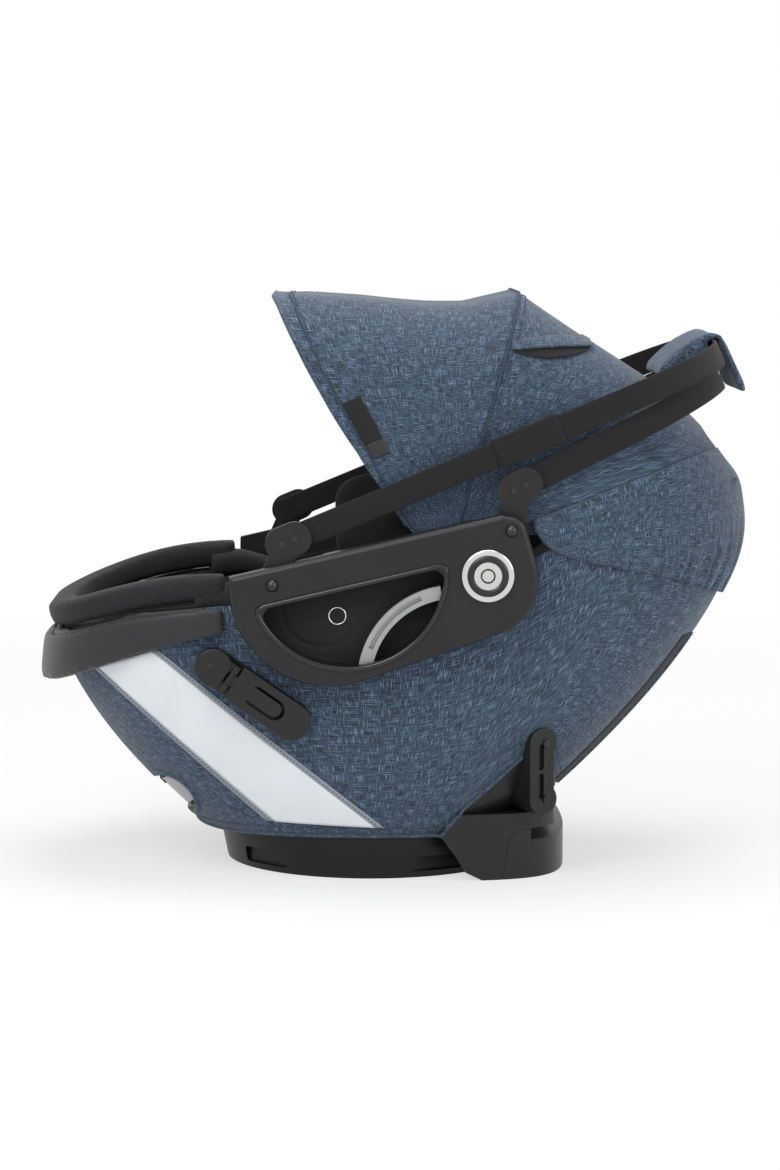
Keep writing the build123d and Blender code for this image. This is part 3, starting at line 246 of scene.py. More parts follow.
def panel(columns, rows, place, width, height):
    """A grid laid out by place(across, along), with both running from 0 to 1."""
    bm = bmesh.new()
    bmesh.ops.create_grid(bm, x_segments=columns, y_segments=rows, size=0.5)
    set_uv(bm, lambda spot: ((spot.x + 0.5) * width, (spot.y + 0.5) * height))
    for vert in bm.verts:
        vert.co = place(vert.co.x + 0.5, vert.co.y + 0.5)
    return bm


def face_away(bm, centre):
    """Turns an open panel's faces to look away from a point."""
    bm.normal_update()
    outwards = sum((f.calc_center_median() - centre).dot(f.normal) * f.calc_area() for f in bm.faces)
    if outwards < 0:
        bmesh.ops.reverse_faces(bm, faces=bm.faces[:])
    return bm


def in_scene(name, bm, material=None):
    """A finished bmesh as an object in the scene."""
    mesh = bpy.data.meshes.new(name)
    bm.to_mesh(mesh)
    bm.free()
    if material:
        mesh.materials.append(material)
    obj = bpy.data.objects.new(name, mesh)
    scene.collection.objects.link(obj)
    return obj


def piece(name, bm, material, body="seat"):
    """A smooth piece of the seat, attached to its body when one is given."""
    obj = in_scene(name, bm, material)
    obj.data.shade_smooth()
    if body:
        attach(obj, body)
    return obj


def thicken(obj, thickness):
    """Gives an open panel its cloth's thickness, inwards."""
    wall = obj.modifiers.new("thickness", "SOLIDIFY")
    wall.thickness = thickness
    wall.offset = -1
    return obj


def sewn(name, cells, place, size, centre, material, thickness, body="seat"):
    """A panel laid out by place, turned to look away from a centre and given its cloth's thickness."""
    bm = face_away(panel(*cells, place, *size), centre)
    return thicken(piece(name, bm, material, body), thickness)


def apply_modifiers(obj):
    """Keeps what an object's modifiers make as its own mesh."""
    bpy.context.view_layer.update()
    mesh = bpy.data.meshes.new_from_object(obj.evaluated_get(bpy.context.evaluated_depsgraph_get()))
    obj.modifiers.clear()
    obj.data = mesh


def bvh(*names):
    """A search tree over CAD nodes, for laying a panel on them."""
    bm = bmesh.new()
    for name in names:
        bm.from_mesh(nodes[name].data)
    tree = BVHTree.FromBMesh(bm)
    bm.free()
    return tree


# %% Small tools for shapes
def verts_of(geometry):
    return [g for g in geometry if isinstance(g, bmesh.types.BMVert)]


def edges_of(geometry):
    return [g for g in geometry if isinstance(g, bmesh.types.BMEdge)]


def blunted(value, power):
    """A value from -1 to 1 raised to a power with its sign kept, which squares off a round form."""
    return math.copysign(abs(value) ** power, value)


def halve(low, high, rounds, past):
    """Where past(value) turns true between low and high, found by halving."""
    for _ in range(rounds):
        middle = (low + high) / 2
        if past(middle):
            high = middle
        else:
            low = middle
    return middle


# %% Stitches and piping
STITCH_RADIUS = 0.55 * MM
STITCH_SHARE = 0.34     # half of a stitch's length, as a share of the pitch


def stitches(name, line, body="seat", pitch=5 * MM):
    """A row of sewing stitches: a small stretched bead for each, laid along a line of points."""
    bm = bmesh.new()
    carried = 0.0
    for start, end in zip(line, line[1:]):
        run = (end - start).length
        if run < 1e-6:
            continue
        turn = (end - start).to_track_quat("X", "Z").to_matrix().to_4x4()
        size = Matrix.Diagonal((STITCH_SHARE * pitch, STITCH_RADIUS, STITCH_RADIUS, 1))
        while carried < run:
            spot = Matrix.Translation(start.lerp(end, carried / run))
            bmesh.ops.create_icosphere(bm, subdivisions=1, radius=1, matrix=spot @ turn @ size)
            carried += pitch
        carried -= run
    return piece(name, bm, thread_and_seam_shade, body)


def tube(name, line, radius, material, body="seat", closed=False):
    """A round piping along a line of points, made as a curve and kept as a mesh."""
    curve = bpy.data.curves.new(name, "CURVE")
    curve.dimensions = "3D"
    curve.bevel_depth = radius
    curve.bevel_resolution = 2
    curve.use_fill_caps = True
    spline = curve.splines.new("POLY")
    spline.points.add(len(line) - 1)
    for point, spot in zip(spline.points, line):
        point.co = (*spot, 1)
    spline.use_cyclic_u = closed
    holder = bpy.data.objects.new(name + "_line", curve)
    scene.collection.objects.link(holder)
    mesh = bpy.data.meshes.new_from_object(holder.evaluated_get(bpy.context.evaluated_depsgraph_get()))
    bpy.data.objects.remove(holder)
    bm = bmesh.new()
    bm.from_mesh(mesh)
    return piece(name, bm, material, body)


# %% [markdown]
# ## The shell's cover
# The shell is a tub whose level outlines grow with height. The cover is stretched over it, so its panel follows
# the same outlines: one trip round the tub across the panel, and from the hem to the rim along it. A ray cast
# inwards finds the true surface, and the cover lies on that.

# %% The tub's outline
KEEL_Z, FULL_Z = 42.0, 320.0
KEEL_FRONT, KEEL_BACK, HEAD_BACK = -192.0, 122.0, 343.0
KEEL_HALF, SEAT_HALF = 153.0, 190.0
FOOT_LEAN, FOOT_CURVE, BACK_POWER, WIDEST_X = 1.17, 0.00224, 1.5, -10.0
KEEL_BLUNT, FOOT_BLUNT, HEAD_BLUNT = 0.72, 0.85, 0.78
RIM = ((-480, 188), (-332, 232), (-240, 262), (-155, 271), (-60, 262), (20, 262), (80, 284), (150, 325),
       (250, 358), (420, 380))
HEM = ((-480, 42.5), (44, 42.5), (52, 54), (126, 121), (150, 121), (156.5, 87), (159, 75), (420, 75))


def along(points, x):
    """Height of a line of points at x, straight between them."""
    for (x0, z0), (x1, z1) in zip(points, points[1:]):
        if x <= x1:
            return z0 + (z1 - z0) * max(0.0, (x - x0) / (x1 - x0))
    return points[-1][1]


def bezier(a, b, c, d, t):
    """A cubic curve's value at t, from its two ends and its two handles."""
    return a * (1 - t) ** 3 + 3 * b * t * (1 - t) ** 2 + 3 * c * t * t * (1 - t) + d * t ** 3


def outline(turn, z):
    """A point of the level outline: turn runs from 0 at the head end by the near side to 4."""
    turn = turn % 4
    rise = z - KEEL_Z
    fall = max(0.0, (FULL_Z - z) / (FULL_Z - KEEL_Z))
    half = SEAT_HALF - (SEAT_HALF - KEEL_HALF) * fall ** 2
    back = HEAD_BACK - (HEAD_BACK - KEEL_BACK) * fall ** BACK_POWER
    front = KEEL_FRONT - FOOT_LEAN * rise + FOOT_CURVE * rise ** 2
    foot = FOOT_BLUNT - (FOOT_BLUNT - KEEL_BLUNT) * min(1, fall)
    quarter, t = int(turn), turn % 1
    if quarter in (1, 3):
        t = 1 - t
    end, blunt = (back, HEAD_BLUNT) if quarter in (0, 3) else (front, foot)
    side = -1 if quarter < 2 else 1
    x = bezier(end, end, WIDEST_X + (end - WIDEST_X) * blunt, WIDEST_X, t)
    y = side * bezier(0, half * blunt, half, half, t)
    return Vector((x, y, z)) * MM


skin = bvh("shell_cover", "heel_left", "heel_right", "heel_cap")
TUB_MIDDLE = Vector((0, 0, 0.2))
AIM_SHARE = 0.35        # rays aim this far from the widest place towards the point's own X
RAY_BACK, RAY_LONG = 40 * MM, 60 * MM


def on_shell(turn, z, out):
    """The point of the shell's outside at this turn and height, lifted by out."""
    spot = outline(turn, z)
    inward = Vector((WIDEST_X * MM + (spot.x - WIDEST_X * MM) * AIM_SHARE, 0, spot.z)) - spot
    inward.normalize()
    hit, normal, _, _ = skin.ray_cast(spot - inward * RAY_BACK, inward, RAY_LONG)
    if hit is None:
        return spot - inward * out
    if normal.dot(inward) > 0:
        normal = -normal
    return hit + normal * out


def level_of(points, turn):
    """Where a side-view line crosses the tub's wall at this turn."""
    return halve(20.0, 400.0, 24, lambda z: z > along(points, outline(turn, z).x / MM))


# %% Cover panel
COVER_LIFT = 0.4 * MM
CIRCUIT = 1.45        # metres round the tub, for the weave's scale
COVER_HIGH = 0.26


def cover_spot(across, up):
    turn = across * 4
    low = level_of(HEM, turn)
    high = level_of(RIM, turn) - 1
    return on_shell(turn, low + (high - low) * up, COVER_LIFT)


cover_mesh = face_away(panel(220, 30, cover_spot, CIRCUIT, COVER_HIGH), TUB_MIDDLE)
bmesh.ops.remove_doubles(cover_mesh, verts=cover_mesh.verts, dist=1e-5)
cover = piece("shell_cover_cloth", cover_mesh, blue_cloth)
print("cover faces:", len(cover.data.polygons))

# %% [markdown]
# The release lever sits in an oval opening low on the foot wall. A closed block in the opening's outline cuts
# the cover there. The cover is cut before it gets its thickness.

# %% Lever opening in the cover
LEVER_Z, LEVER_HALF, LEVER_HIGH = 67.0, 118.0, 48.0
CUT_DEEP, CUT_LONG = -30 * MM, 60 * MM
wall_lean = FOOT_LEAN - 2 * FOOT_CURVE * (LEVER_Z - KEEL_Z)
wall_up = Vector((-wall_lean, 0, 1)).normalized()
wall_out = Vector((-1, 0, -wall_lean)).normalized()
wall_middle = outline(2, LEVER_Z)


def lever_oval(grow, deep, count=64):
    """Points round the oval on the foot wall's plane."""
    radius = (LEVER_HIGH / 2 + grow) * MM
    straight = (LEVER_HALF - LEVER_HIGH / 2) * MM
    points = []
    for i in range(count):
        turn = 2 * math.pi * i / count
        side = math.copysign(straight, math.cos(turn)) + radius * math.cos(turn)
        points.append(wall_middle + Vector((0, side, 0)) + wall_up * radius * math.sin(turn) + wall_out * deep)
    return points


cutter_mesh = bmesh.new()
base_face = cutter_mesh.faces.new([cutter_mesh.verts.new(p) for p in lever_oval(0, CUT_DEEP)])
far_side = bmesh.ops.extrude_face_region(cutter_mesh, geom=[base_face])["geom"]
bmesh.ops.translate(cutter_mesh, vec=wall_out * CUT_LONG, verts=verts_of(far_side))
bmesh.ops.recalc_face_normals(cutter_mesh, faces=cutter_mesh.faces)
cutter = in_scene("lever_cutter", cutter_mesh)

cut = cover.modifiers.new("cut", "BOOLEAN")
cut.object = cutter
cut.operation = "DIFFERENCE"
cut.solver = "EXACT"
apply_modifiers(cover)
bpy.data.objects.remove(cutter)
thicken(cover, 2.2 * MM)
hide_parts("shell_cover")
front_skin = bvh("shell_cover")
print("cover faces after the cut:", len(cover.data.polygons))

# %% [markdown]
# The cover's edges are finished as a sewer would: a rolled edge round the lever opening, a thin piping along the
# hem, and a row of topstitching a finger's breadth above it.

# %% Rolled edges and topstitching of the cover
HEM_STEPS = 360
rolled = []
for point in lever_oval(2.5, 0.0, 96):
    hit = front_skin.ray_cast(point + wall_out * 0.08, -wall_out)[0]
    if hit is not None:
        rolled.append(hit - wall_out * 0.5 * MM)
tube("lever_opening_roll", rolled, 3.2 * MM, blue_wrap, closed=True)


def hem_line(lift, out, low=0.0, high=4.0):
    """Points along the cover's hem between two turns, raised along the wall and lifted off it."""
    turns = [low + (high - low) * i / HEM_STEPS for i in range(HEM_STEPS + 1)]
    return [on_shell(turn, level_of(HEM, turn) + lift, out) for turn in turns]


tube("cover_hem_piping", hem_line(1.0, 0.8 * MM)[:-1], 1.5 * MM, blue_wrap, closed=True)
stitches("cover_hem_stitches", hem_line(9.0, 0.7 * MM, 0.36, 3.64))
print("cover edges finished")

# %% [markdown]
# At the back two black strips run up the shell, wide at the heel and narrow at the skirt, and each has a
# blue piped edge towards the middle.


# %% Back strips
STRIP_TURN, STRIP_DRIFT, STRIP_WIDE = 0.285, 0.03, 0.17
STRIP_Z, STRIP_HIGH, STRIP_LIFT = 82, 150, 0.9 * MM


def strip_spot(side):
    """Lays out one strip: it drifts towards the middle and gets half as wide on its way up."""
    def place(across, up):
        turn = STRIP_TURN - STRIP_DRIFT * up + (across - 0.5) * STRIP_WIDE * (1 - 0.5 * up)
        return on_shell(turn if side < 0 else 4 - turn, STRIP_Z + STRIP_HIGH * up, STRIP_LIFT)
    return place


for side, name in SIDES:
    place = strip_spot(side)
    strip = sewn("back_strip_" + name, (10, 50), place, (0.03, 0.2), TUB_MIDDLE, black_sheet,
                 0.8 * MM)
    edge = [place(0.0, i / 40) for i in range(41)]
    tube("back_strip_piping_" + name, edge, 2.2 * MM, blue_wrap)
print("back strips made")

# %% [markdown]
# ## Padded pieces
# The seat pad, the head support, the rim roll, the shoulder pads, the foot bumper and the grip are stuffed. Each
# starts as a copy of its CAD solid, remeshed into even small faces and drawn in a little. Cloth with air pressure
# then swells it back, as wadding does under knit. Seams are pressed in last, because the remesh would lose them.


# %% Stuffing helpers
AIR_PRESSURE = 4.0
LAST_FRAME = 14
MOST_SWELL = 1.6        # no point swells further than this many times the draw-in


def stuffed(name, node, material, body="seat", voxel=4 * MM, draw_in=2.5 * MM, rounds=6):
    """A swollen copy of a CAD solid that takes the solid's place."""
    bm = bmesh.new()
    bm.from_mesh(nodes[node].data)
    bmesh.ops.remove_doubles(bm, verts=bm.verts, dist=1e-5)
    obj = piece(name, bm, material, None)
    remesh = obj.modifiers.new("even", "REMESH")
    remesh.mode = "VOXEL"
    remesh.voxel_size = voxel
    apply_modifiers(obj)
    bm = bmesh.new()
    bm.from_mesh(obj.data)
    for _ in range(rounds):
        bmesh.ops.smooth_vert(bm, verts=bm.verts, factor=0.5, use_axis_x=True, use_axis_y=True, use_axis_z=True)
    bm.normal_update()
    for vert in bm.verts:
        vert.co -= vert.normal * draw_in
    bm.to_mesh(obj.data)
    start = [v.co.copy() for v in bm.verts]
    bm.free()
    swell(obj)
    for vert, old in zip(obj.data.vertices, start):
        move = vert.co - old
        if move.length > MOST_SWELL * draw_in:
            vert.co = old + move * (MOST_SWELL * draw_in / move.length)
    obj.data.shade_smooth()
    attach(obj, body)
    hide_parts(node)
    return obj


def swell(obj):
    """Runs cloth with air pressure and no weight, and keeps the result."""
    cloth = obj.modifiers.new("cloth", "CLOTH")
    cloth.settings.use_pressure = True
    cloth.settings.uniform_pressure_force = AIR_PRESSURE
    cloth.settings.effector_weights.gravity = 0
    cloth.settings.quality = 4
    cloth.point_cache.frame_start = 1
    cloth.point_cache.frame_end = LAST_FRAME
    for number in range(1, LAST_FRAME + 1):
        scene.frame_set(number)
    apply_modifiers(obj)
    scene.frame_set(1)


def press_seam(obj, depth, reach, distance):
    """Presses a sewn channel into a stuffed piece where distance(point) is near 0."""
    for vert in obj.data.vertices:
        near = distance(vert.co) / reach
        if abs(near) < 3:
            vert.co -= vert.normal * depth * math.exp(-near * near)


# %% Stuffed pieces
PAD_SEAMS = (-0.175, -0.085, 0.02, 0.12, 0.205)
HEAD_SEAM = 0.062
pad = stuffed("seat_pad_cloth", "seat_pad", black_knit, voxel=4.5 * MM, draw_in=2 * MM)
for seam_x in PAD_SEAMS:
    press_seam(pad, 2.2 * MM, 3.5 * MM, lambda p: p.x - seam_x)
head = stuffed("head_support_cloth", "head_support", black_knit, draw_in=2.5 * MM)
press_seam(head, 2.5 * MM, 3 * MM, lambda p: abs(p.y) - HEAD_SEAM)
stuffed("rim_roll_cloth", "rim_roll", black_knit, voxel=3.5 * MM, rounds=18)
for side, name in SIDES:
    stuffed("shoulder_pad_cloth_" + name, "shoulder_pad_" + name, black_knit,
            voxel=2.5 * MM, draw_in=1.2 * MM)
stuffed("foot_bumper_skin", "foot_bumper", soft_grey, voxel=3 * MM, draw_in=0.8 * MM, rounds=22)
stuffed("grip_wrap_cloth", "grip_wrap", blue_wrap, body="handle_front", voxel=2.4 * MM,
        draw_in=1.0 * MM, rounds=4)
print("stuffed pieces made")

# %% [markdown]
# A padded trim caps the edge where the shell, the foam and the pad end in layers. Its oval section is swept round
# the rim from one end of the foot roll to the other by way of the head end, and swells where it meets the roll.

# %% Rim trim
TRIM_TURN = 1.27
TRIM_INSET, TRIM_HALF_WIDE, TRIM_HALF_HIGH = 18.5, 18, 5.5
SWELL_TURN, SWELL_RUN, SWELL_HIGH = 1.06, 0.18, 8       # where the ends swell, over how long, and by how much


def rim_spot(turn, inset, lift):
    """A point near the rim: inset from the shell's outside and lifted over the rim."""
    z = level_of(RIM, turn)
    run = outline(turn + 0.01, z) - outline(turn - 0.01, z)
    inward = Vector((-run.y, run.x, 0)).normalized()
    if inward.dot(Vector((WIDEST_X * MM, 0, z * MM)) - outline(turn, z)) < 0:
        inward.negate()
    return outline(turn, z) + inward * inset * MM + Vector((0, 0, lift * MM))


def trim_spot(way, round_it):
    turn = 2 * math.pi * round_it
    place = (way - 0.5) * 2 * TRIM_TURN
    share = min(1, max(0, (abs(place) - SWELL_TURN) / SWELL_RUN))
    more = SWELL_HIGH * (share * share * (3 - 2 * share))
    lift = (TRIM_HALF_HIGH + more) * blunted(math.sin(turn), 0.7) - 1 + more
    return rim_spot(place, TRIM_INSET + TRIM_HALF_WIDE * math.cos(turn), lift)


trim_mesh = panel(200, 18, trim_spot, 1.1, 0.09)
bmesh.ops.remove_doubles(trim_mesh, verts=trim_mesh.verts, dist=1e-5)
bmesh.ops.holes_fill(trim_mesh, edges=[e for e in trim_mesh.edges if e.is_boundary])
bmesh.ops.recalc_face_normals(trim_mesh, faces=trim_mesh.faces)
trim = piece("rim_trim", trim_mesh, black_knit)
print("rim trim faces:", len(trim.data.polygons))

# %% [markdown]
# Between the foot roll and the bumper a strip of the bumper's own soft skin is tucked in, so no cover shows there.


# %% Tuck strip
TUCK_FROM, TUCK_TO, TUCK_HIGH = 1.25, 2.75, 28


def tuck_spot(across, up):
    turn = TUCK_FROM + (TUCK_TO - TUCK_FROM) * across
    low = level_of(RIM, turn) - TUCK_HIGH
    return on_shell(turn, low + TUCK_HIGH * up, (1.5 + 2.5 * math.sin(math.pi * up)) * MM)


tuck = sewn("bumper_tuck", (120, 10), tuck_spot, (0.6, 0.03), TUB_MIDDLE, soft_grey, 1.2 * MM)
print("tuck strip faces:", len(tuck.data.polygons))

# %% [markdown]
# Inside each grab opening a padded side panel of the seat cover stands up behind the frame. Two rounded seams
# are sewn into it, and a ring snap holds it to the shell. A softer bolster stands on the rim above it.

# %% Side panels in the grab openings
GRAB_X, GRAB_Z, GRAB_R, GRAB_CHORD, FRAME_SLOPE = -44.0, 307.0, 91.5, 18.8, 12.9
WINDOW_X, WINDOW_LONG, WINDOW_R, WINDOW_TOP = -142, 196, 99, 303
WALL_TOP = 256          # above this height a side panel stands straight up from the wall
SEAM_X, SEAM_Z, OUTER_SEAM_R, INNER_SEAM_R = -68.0, 269.5, 65, 38
SNAP_X, SNAP_Z, SNAP_R, SNAP_STEPS = -53, 261, 8, 40
BOLSTER_MIDDLE, BOLSTER_Y, BOLSTER_TIP = (0.008, 0.310), 0.1525, -10
BOLSTER_FORM = ((0, 58, 0.5), (1, 9.5, 0.8), (2, 64, 0.42))     # axis, half size and bluntness


def on_near_side(x, z, out):
    """The point of the cover's near side at this place in side view."""
    hit, normal, _, _ = front_skin.ray_cast(Vector((x * MM, -0.4, z * MM)), Vector((0, 1, 0)))
    if hit is None:
        return Vector((x * MM, -0.17, z * MM))
    if normal.y > 0:
        normal = -normal
    return hit + normal * out


def over_wall(side, x, z, lift):
    """A point in front of one side's wall, and straight above the wall where that ends."""
    wall = on_near_side(x, min(z, WALL_TOP), lift * MM)
    return Vector((x * MM, wall.y * -side, z * MM))


def window_spot(side):
    """Lays out a side panel: the field inside the outer seam is raised, and the inner seam is a groove in it."""
    def place(across, up):
        x = WINDOW_X + WINDOW_LONG * across
        top = GRAB_Z - GRAB_CHORD + (x - GRAB_X) * math.tan(math.radians(FRAME_SLOPE)) + 3
        low = min(GRAB_Z - math.sqrt(max(0.0, WINDOW_R ** 2 - (x - GRAB_X) ** 2)), top - 4)
        z = low + (min(top, WINDOW_TOP) - low) * up
        reach = math.hypot(x - SEAM_X, z - SEAM_Z)
        field = 1 / (1 + math.exp((reach - OUTER_SEAM_R) / 1.8))
        groove = math.exp(-((reach - INNER_SEAM_R) / 2.0) ** 2)
        return over_wall(side, x, z, 1.4 + 1.2 * field - 1.3 * groove * field)
    return place


for side, name in SIDES:
    window = sewn("side_panel_" + name, (110, 64), window_spot(side), (0.18, 0.1), Vector((-0.05, 0, 0.25)),
                  black_sheet, 2.4 * MM)
    turns = [2 * math.pi * i / SNAP_STEPS for i in range(SNAP_STEPS)]
    snap = [over_wall(side, SNAP_X + SNAP_R * math.cos(t), SNAP_Z + SNAP_R * math.sin(t), 2.9) for t in turns]
    tube("ring_snap_" + name, snap, 0.8 * MM, chrome, closed=True)
    bolster_mesh = bmesh.new()
    bmesh.ops.create_uvsphere(bolster_mesh, u_segments=40, v_segments=24, radius=1)
    for vert in bolster_mesh.verts:
        for axis, size, power in BOLSTER_FORM:
            vert.co[axis] = blunted(vert.co[axis], power) * size * MM
        vert.co.y += 2.5 * MM * math.cos(vert.co.x * 60) * math.cos(vert.co.z * 50) * -side
    tip = Matrix.Rotation(math.radians(BOLSTER_TIP), 4, "Y")
    stand = Matrix.Translation((BOLSTER_MIDDLE[0], side * BOLSTER_Y, BOLSTER_MIDDLE[1]))
    bmesh.ops.transform(bolster_mesh, matrix=stand @ tip, verts=bolster_mesh.verts)
    bolster = piece("side_bolster_" + name, bolster_mesh, black_knit)
print("side panels made")

# %% [markdown]
# The moulded lip of each grab opening is polished. A round bead follows it: the bottom of a circle and the
# straight edge above, with the two corners eased.


# %% Polished beads
BEAD_GROW, BEAD_Y, BEAD_RADIUS = 2.4, 212.6, 2.7 * MM
EASE_TURN, EASE_LONG = 0.09, 9      # how much of the arc and of the edge a corner takes up


def grab_line(grow, y):
    """Points round a grab opening, grown by this much, in the side plane at y."""
    radius, drop = GRAB_R + grow, GRAB_CHORD - grow
    half = math.sqrt(radius ** 2 - drop ** 2)
    start = math.asin(drop / radius)
    arc = []
    for i in range(61):
        turn = math.pi + start + EASE_TURN + (math.pi - 2 * start - 2 * EASE_TURN) * i / 60
        arc.append(Vector((radius * math.cos(turn), radius * math.sin(turn))))
    edge = [Vector((half - EASE_LONG - (2 * half - 2 * EASE_LONG) * i / 20, -drop)) for i in range(21)]
    right, left = Vector((half, -drop)), Vector((-half, -drop))
    flat = arc + [arc[-1] * 0.25 + right * 0.5 + edge[0] * 0.25] + edge
    flat += [edge[-1] * 0.25 + left * 0.5 + arc[0] * 0.25]
    c, s = math.cos(math.radians(FRAME_SLOPE)), math.sin(math.radians(FRAME_SLOPE))
    return [Vector((GRAB_X + p.x * c - p.y * s, y, GRAB_Z + p.x * s + p.y * c)) * MM for p in flat]


for side, name in SIDES:
    line = grab_line(BEAD_GROW, side * BEAD_Y)
    tube("grab_bead_" + name, line, BEAD_RADIUS, gloss_black, closed=True)
print("beads made")

# %% [markdown]
# The chromed hub caps carry plain dark rings, like a turned knob.

# %% Hub rings
HUB_X, HUB_Z, HUB_Y = 88.0, 301.0, 217.5
HUB_RINGS = ((13.0, 19.5), (5.5, 7.0))      # inner and outer radius


def ring_spot(inner, outer, y):
    def place(across, out):
        turn, radius = 2 * math.pi * across, inner + (outer - inner) * out
        return Vector((HUB_X + radius * math.cos(turn), y, HUB_Z + radius * math.sin(turn))) * MM
    return place


for side, name in SIDES:
    for inner, outer in HUB_RINGS:
        ring_mesh = panel(64, 2, ring_spot(inner, outer, side * HUB_Y), 0.1, 0.006)
        bmesh.ops.remove_doubles(ring_mesh, verts=ring_mesh.verts, dist=1e-6)
        face_away(ring_mesh, Vector((HUB_X * MM, 0, HUB_Z * MM)))
        thicken(piece("hub_ring_%s_%d" % (name, inner), ring_mesh, dark_steel), 0.5 * MM)
print("hub rings made")

# %% [markdown]
# ## Canopy
# Two bows turn about one pivot on each side. The visor is sewn between the bows, the top panel runs from the
# middle bow to a seam over the child's head, and the rear panel is fixed to the shell. Each panel is laid out by
# the lean of a plane through the pivot and by the way along the arch in that plane, so a panel that folds with
# its bow sweeps along its own surface.

# %% Canopy form
BOW_X, BOW_Z, BOW_R = 54.0, 318.0, 244
VISOR_LEAN, BOW_LEAN, SEAM_LEAN, REAR_LEAN = -33.8, 15.8, 50.0, 77.4
HOOD = ((-150, 558, 169, 88), (-79, 561, 171, 90), (-30, 559, 172, 91), (35, 553, 174, 92), (75, 552.5, 174, 92),
        (123, 562, 174, 92), (206, 509, 171, 90), (262, 470, 162, 84), (300, 434, 140, 66), (338, 380, 88, 46))
HOOD_HEM = 336.0
HOOD_CORE = Vector((BOW_X + 30, 0, BOW_Z + 60))     # cloth is lifted straight away from here
HOOD_MIDDLE = Vector((0.1, 0, 0.35))


def hood_at(x):
    """Peak height, half width and shoulder radius of the hood at x."""
    for low, high in zip(HOOD, HOOD[1:]):
        if x <= high[0]:
            share = max(0.0, (x - low[0]) / (high[0] - low[0]))
            return [a + (b - a) * share for a, b in zip(low[1:], high[1:])]
    return list(HOOD[-1][1:])


def arch(x, way):
    """A point of the upright arch at x: way runs from the near hem at 0 over the top to the far hem at 1."""
    peak, half, radius = hood_at(x)
    foot = min(max(HOOD_HEM, along(RIM, x) + 3), peak - radius * 0.2)
    radius = min(radius, peak - foot)
    side = peak - radius - foot
    quarter = math.pi * radius / 2
    top = half - radius
    run = (side + quarter + top) * min(way, 1 - way) * 2
    if run <= side:
        y, z = -half, foot + run
    elif run <= side + quarter:
        turn = (run - side) / radius
        y, z = -half + radius * (1 - math.cos(turn)), peak - radius + radius * math.sin(turn)
    else:
        y, z = -top + (run - side - quarter), peak
    return (y if way <= 0.5 else -y), z


def hood_spot(lean, way, out=0.0):
    """The canopy's point in the plane through the pivot with this lean, and this way along its arch."""
    c, s = math.cos(math.radians(lean)), math.sin(math.radians(lean))
    x = halve(-160.0, 340.0, 30, lambda at: (at - BOW_X) * c - (arch(at, way)[1] - BOW_Z) * s > 0)
    spot = Vector((x, *arch(x, way)))
    return (spot + (spot - HOOD_CORE).normalized() * out) * MM


# %% Visor, top and rear panels
EDGE_LEAN = ((336, -62), (350, -54), (375, -46), (414, -41.8), (473, -38.3), (512, -36.5), (551, -34.9),
             (580, -34.5))
CLOTH_LIFT, RIPPLE = 0.6, 0.9


def visor_edge(way):
    """Lean of the visor's front edge: its cloth reaches a little past the bow, and more near the pivots."""
    return along(EDGE_LEAN, hood_spot(VISOR_LEAN, way).z / MM)


def between(low, high, depth):
    """Lays out a panel between two leans: it sags by depth and ripples a little where nothing holds it."""
    def place(across, way):
        start = visor_edge(way) if low == VISOR_LEAN else low
        lean = start + (high - start) * across
        loose = math.sin(math.pi * max(0.0, (lean - low) / (high - low)))
        ripple = RIPPLE * noise.noise((across * 6, way * 9, low))
        return hood_spot(lean, way, CLOTH_LIFT + (ripple - depth) * loose)
    return place


SEAM_TOP = hood_spot(SEAM_LEAN, 0.5)


def visor_bend(obj):
    """Bakes a piece of the visor's place into its mesh."""
    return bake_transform(obj)


def top_bend(obj):
    """Bakes a piece of the top panel's place into its mesh."""
    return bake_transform(obj)


def hood_panel(name, cells, place, size, material, thickness, body=None):
    """A sewn piece of the canopy, attached to a body only when one is given."""
    return sewn(name, cells, place, size, HOOD_MIDDLE, material, thickness, body)


visor = visor_bend(hood_panel("canopy_visor_cloth", (28, 90), between(VISOR_LEAN, BOW_LEAN, 3), (0.21, 0.72),
                              blue_cloth, 1.6 * MM))
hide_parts("canopy_visor")
top = top_bend(hood_panel("canopy_top_cloth", (24, 90), between(BOW_LEAN, SEAM_LEAN, 2), (0.15, 0.72),
                          blue_cloth, 1.6 * MM))
rear = hood_panel("canopy_rear_cloth", (24, 90), between(SEAM_LEAN, REAR_LEAN, 0), (0.13, 0.72),
                  blue_cloth, 1.6 * MM, "seat")
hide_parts("canopy_top")
print("canopy panels made")

# %% [markdown]
# The visor's front edge is turned over into a channel for the bow, with a row of stitches behind it, and a plain
# woven tag is caught in that seam. A dark line in the groove behind the channel is painted shade. Over the middle
# bow the panels meet in a piped seam, whose piping is dark as painted shadow along the seam. High on the top
# panel a lip of cloth covers a mesh vent. These details are placed by where they lie in side view.


# %% Canopy edges, tag and vent
def on_hood(x, z, out):
    """The canopy's near side at this place in side view."""
    lean = math.degrees(math.atan2(x - BOW_X, z - BOW_Z))
    way = halve(0.0, 0.5, 20, lambda at: hood_spot(lean, at).z > z * MM)
    return hood_spot(lean, way, out)


WAYS = [0.012 + 0.976 * i / 120 for i in range(121)]
CHANNEL_WIDE, CHANNEL_SEAM, STITCH_LEAN = 2.6, 2.7, 3.3     # degrees behind the visor's edge


def edge_line(lean_of, out):
    """Points over the canopy from hem to hem, at the lean that lean_of gives for each way."""
    return [hood_spot(lean_of(way), way, out) for way in WAYS]


visor_bend(tube("visor_edge_piping", edge_line(visor_edge, 0.2), 2.0 * MM, blue_wrap, None))


def channel_spot(across, way):
    rise = 1.3 * math.sin(math.pi * min(1, across * 1.4 + 0.1)) + 0.2
    return hood_spot(visor_edge(way) + CHANNEL_WIDE * across, way, rise)


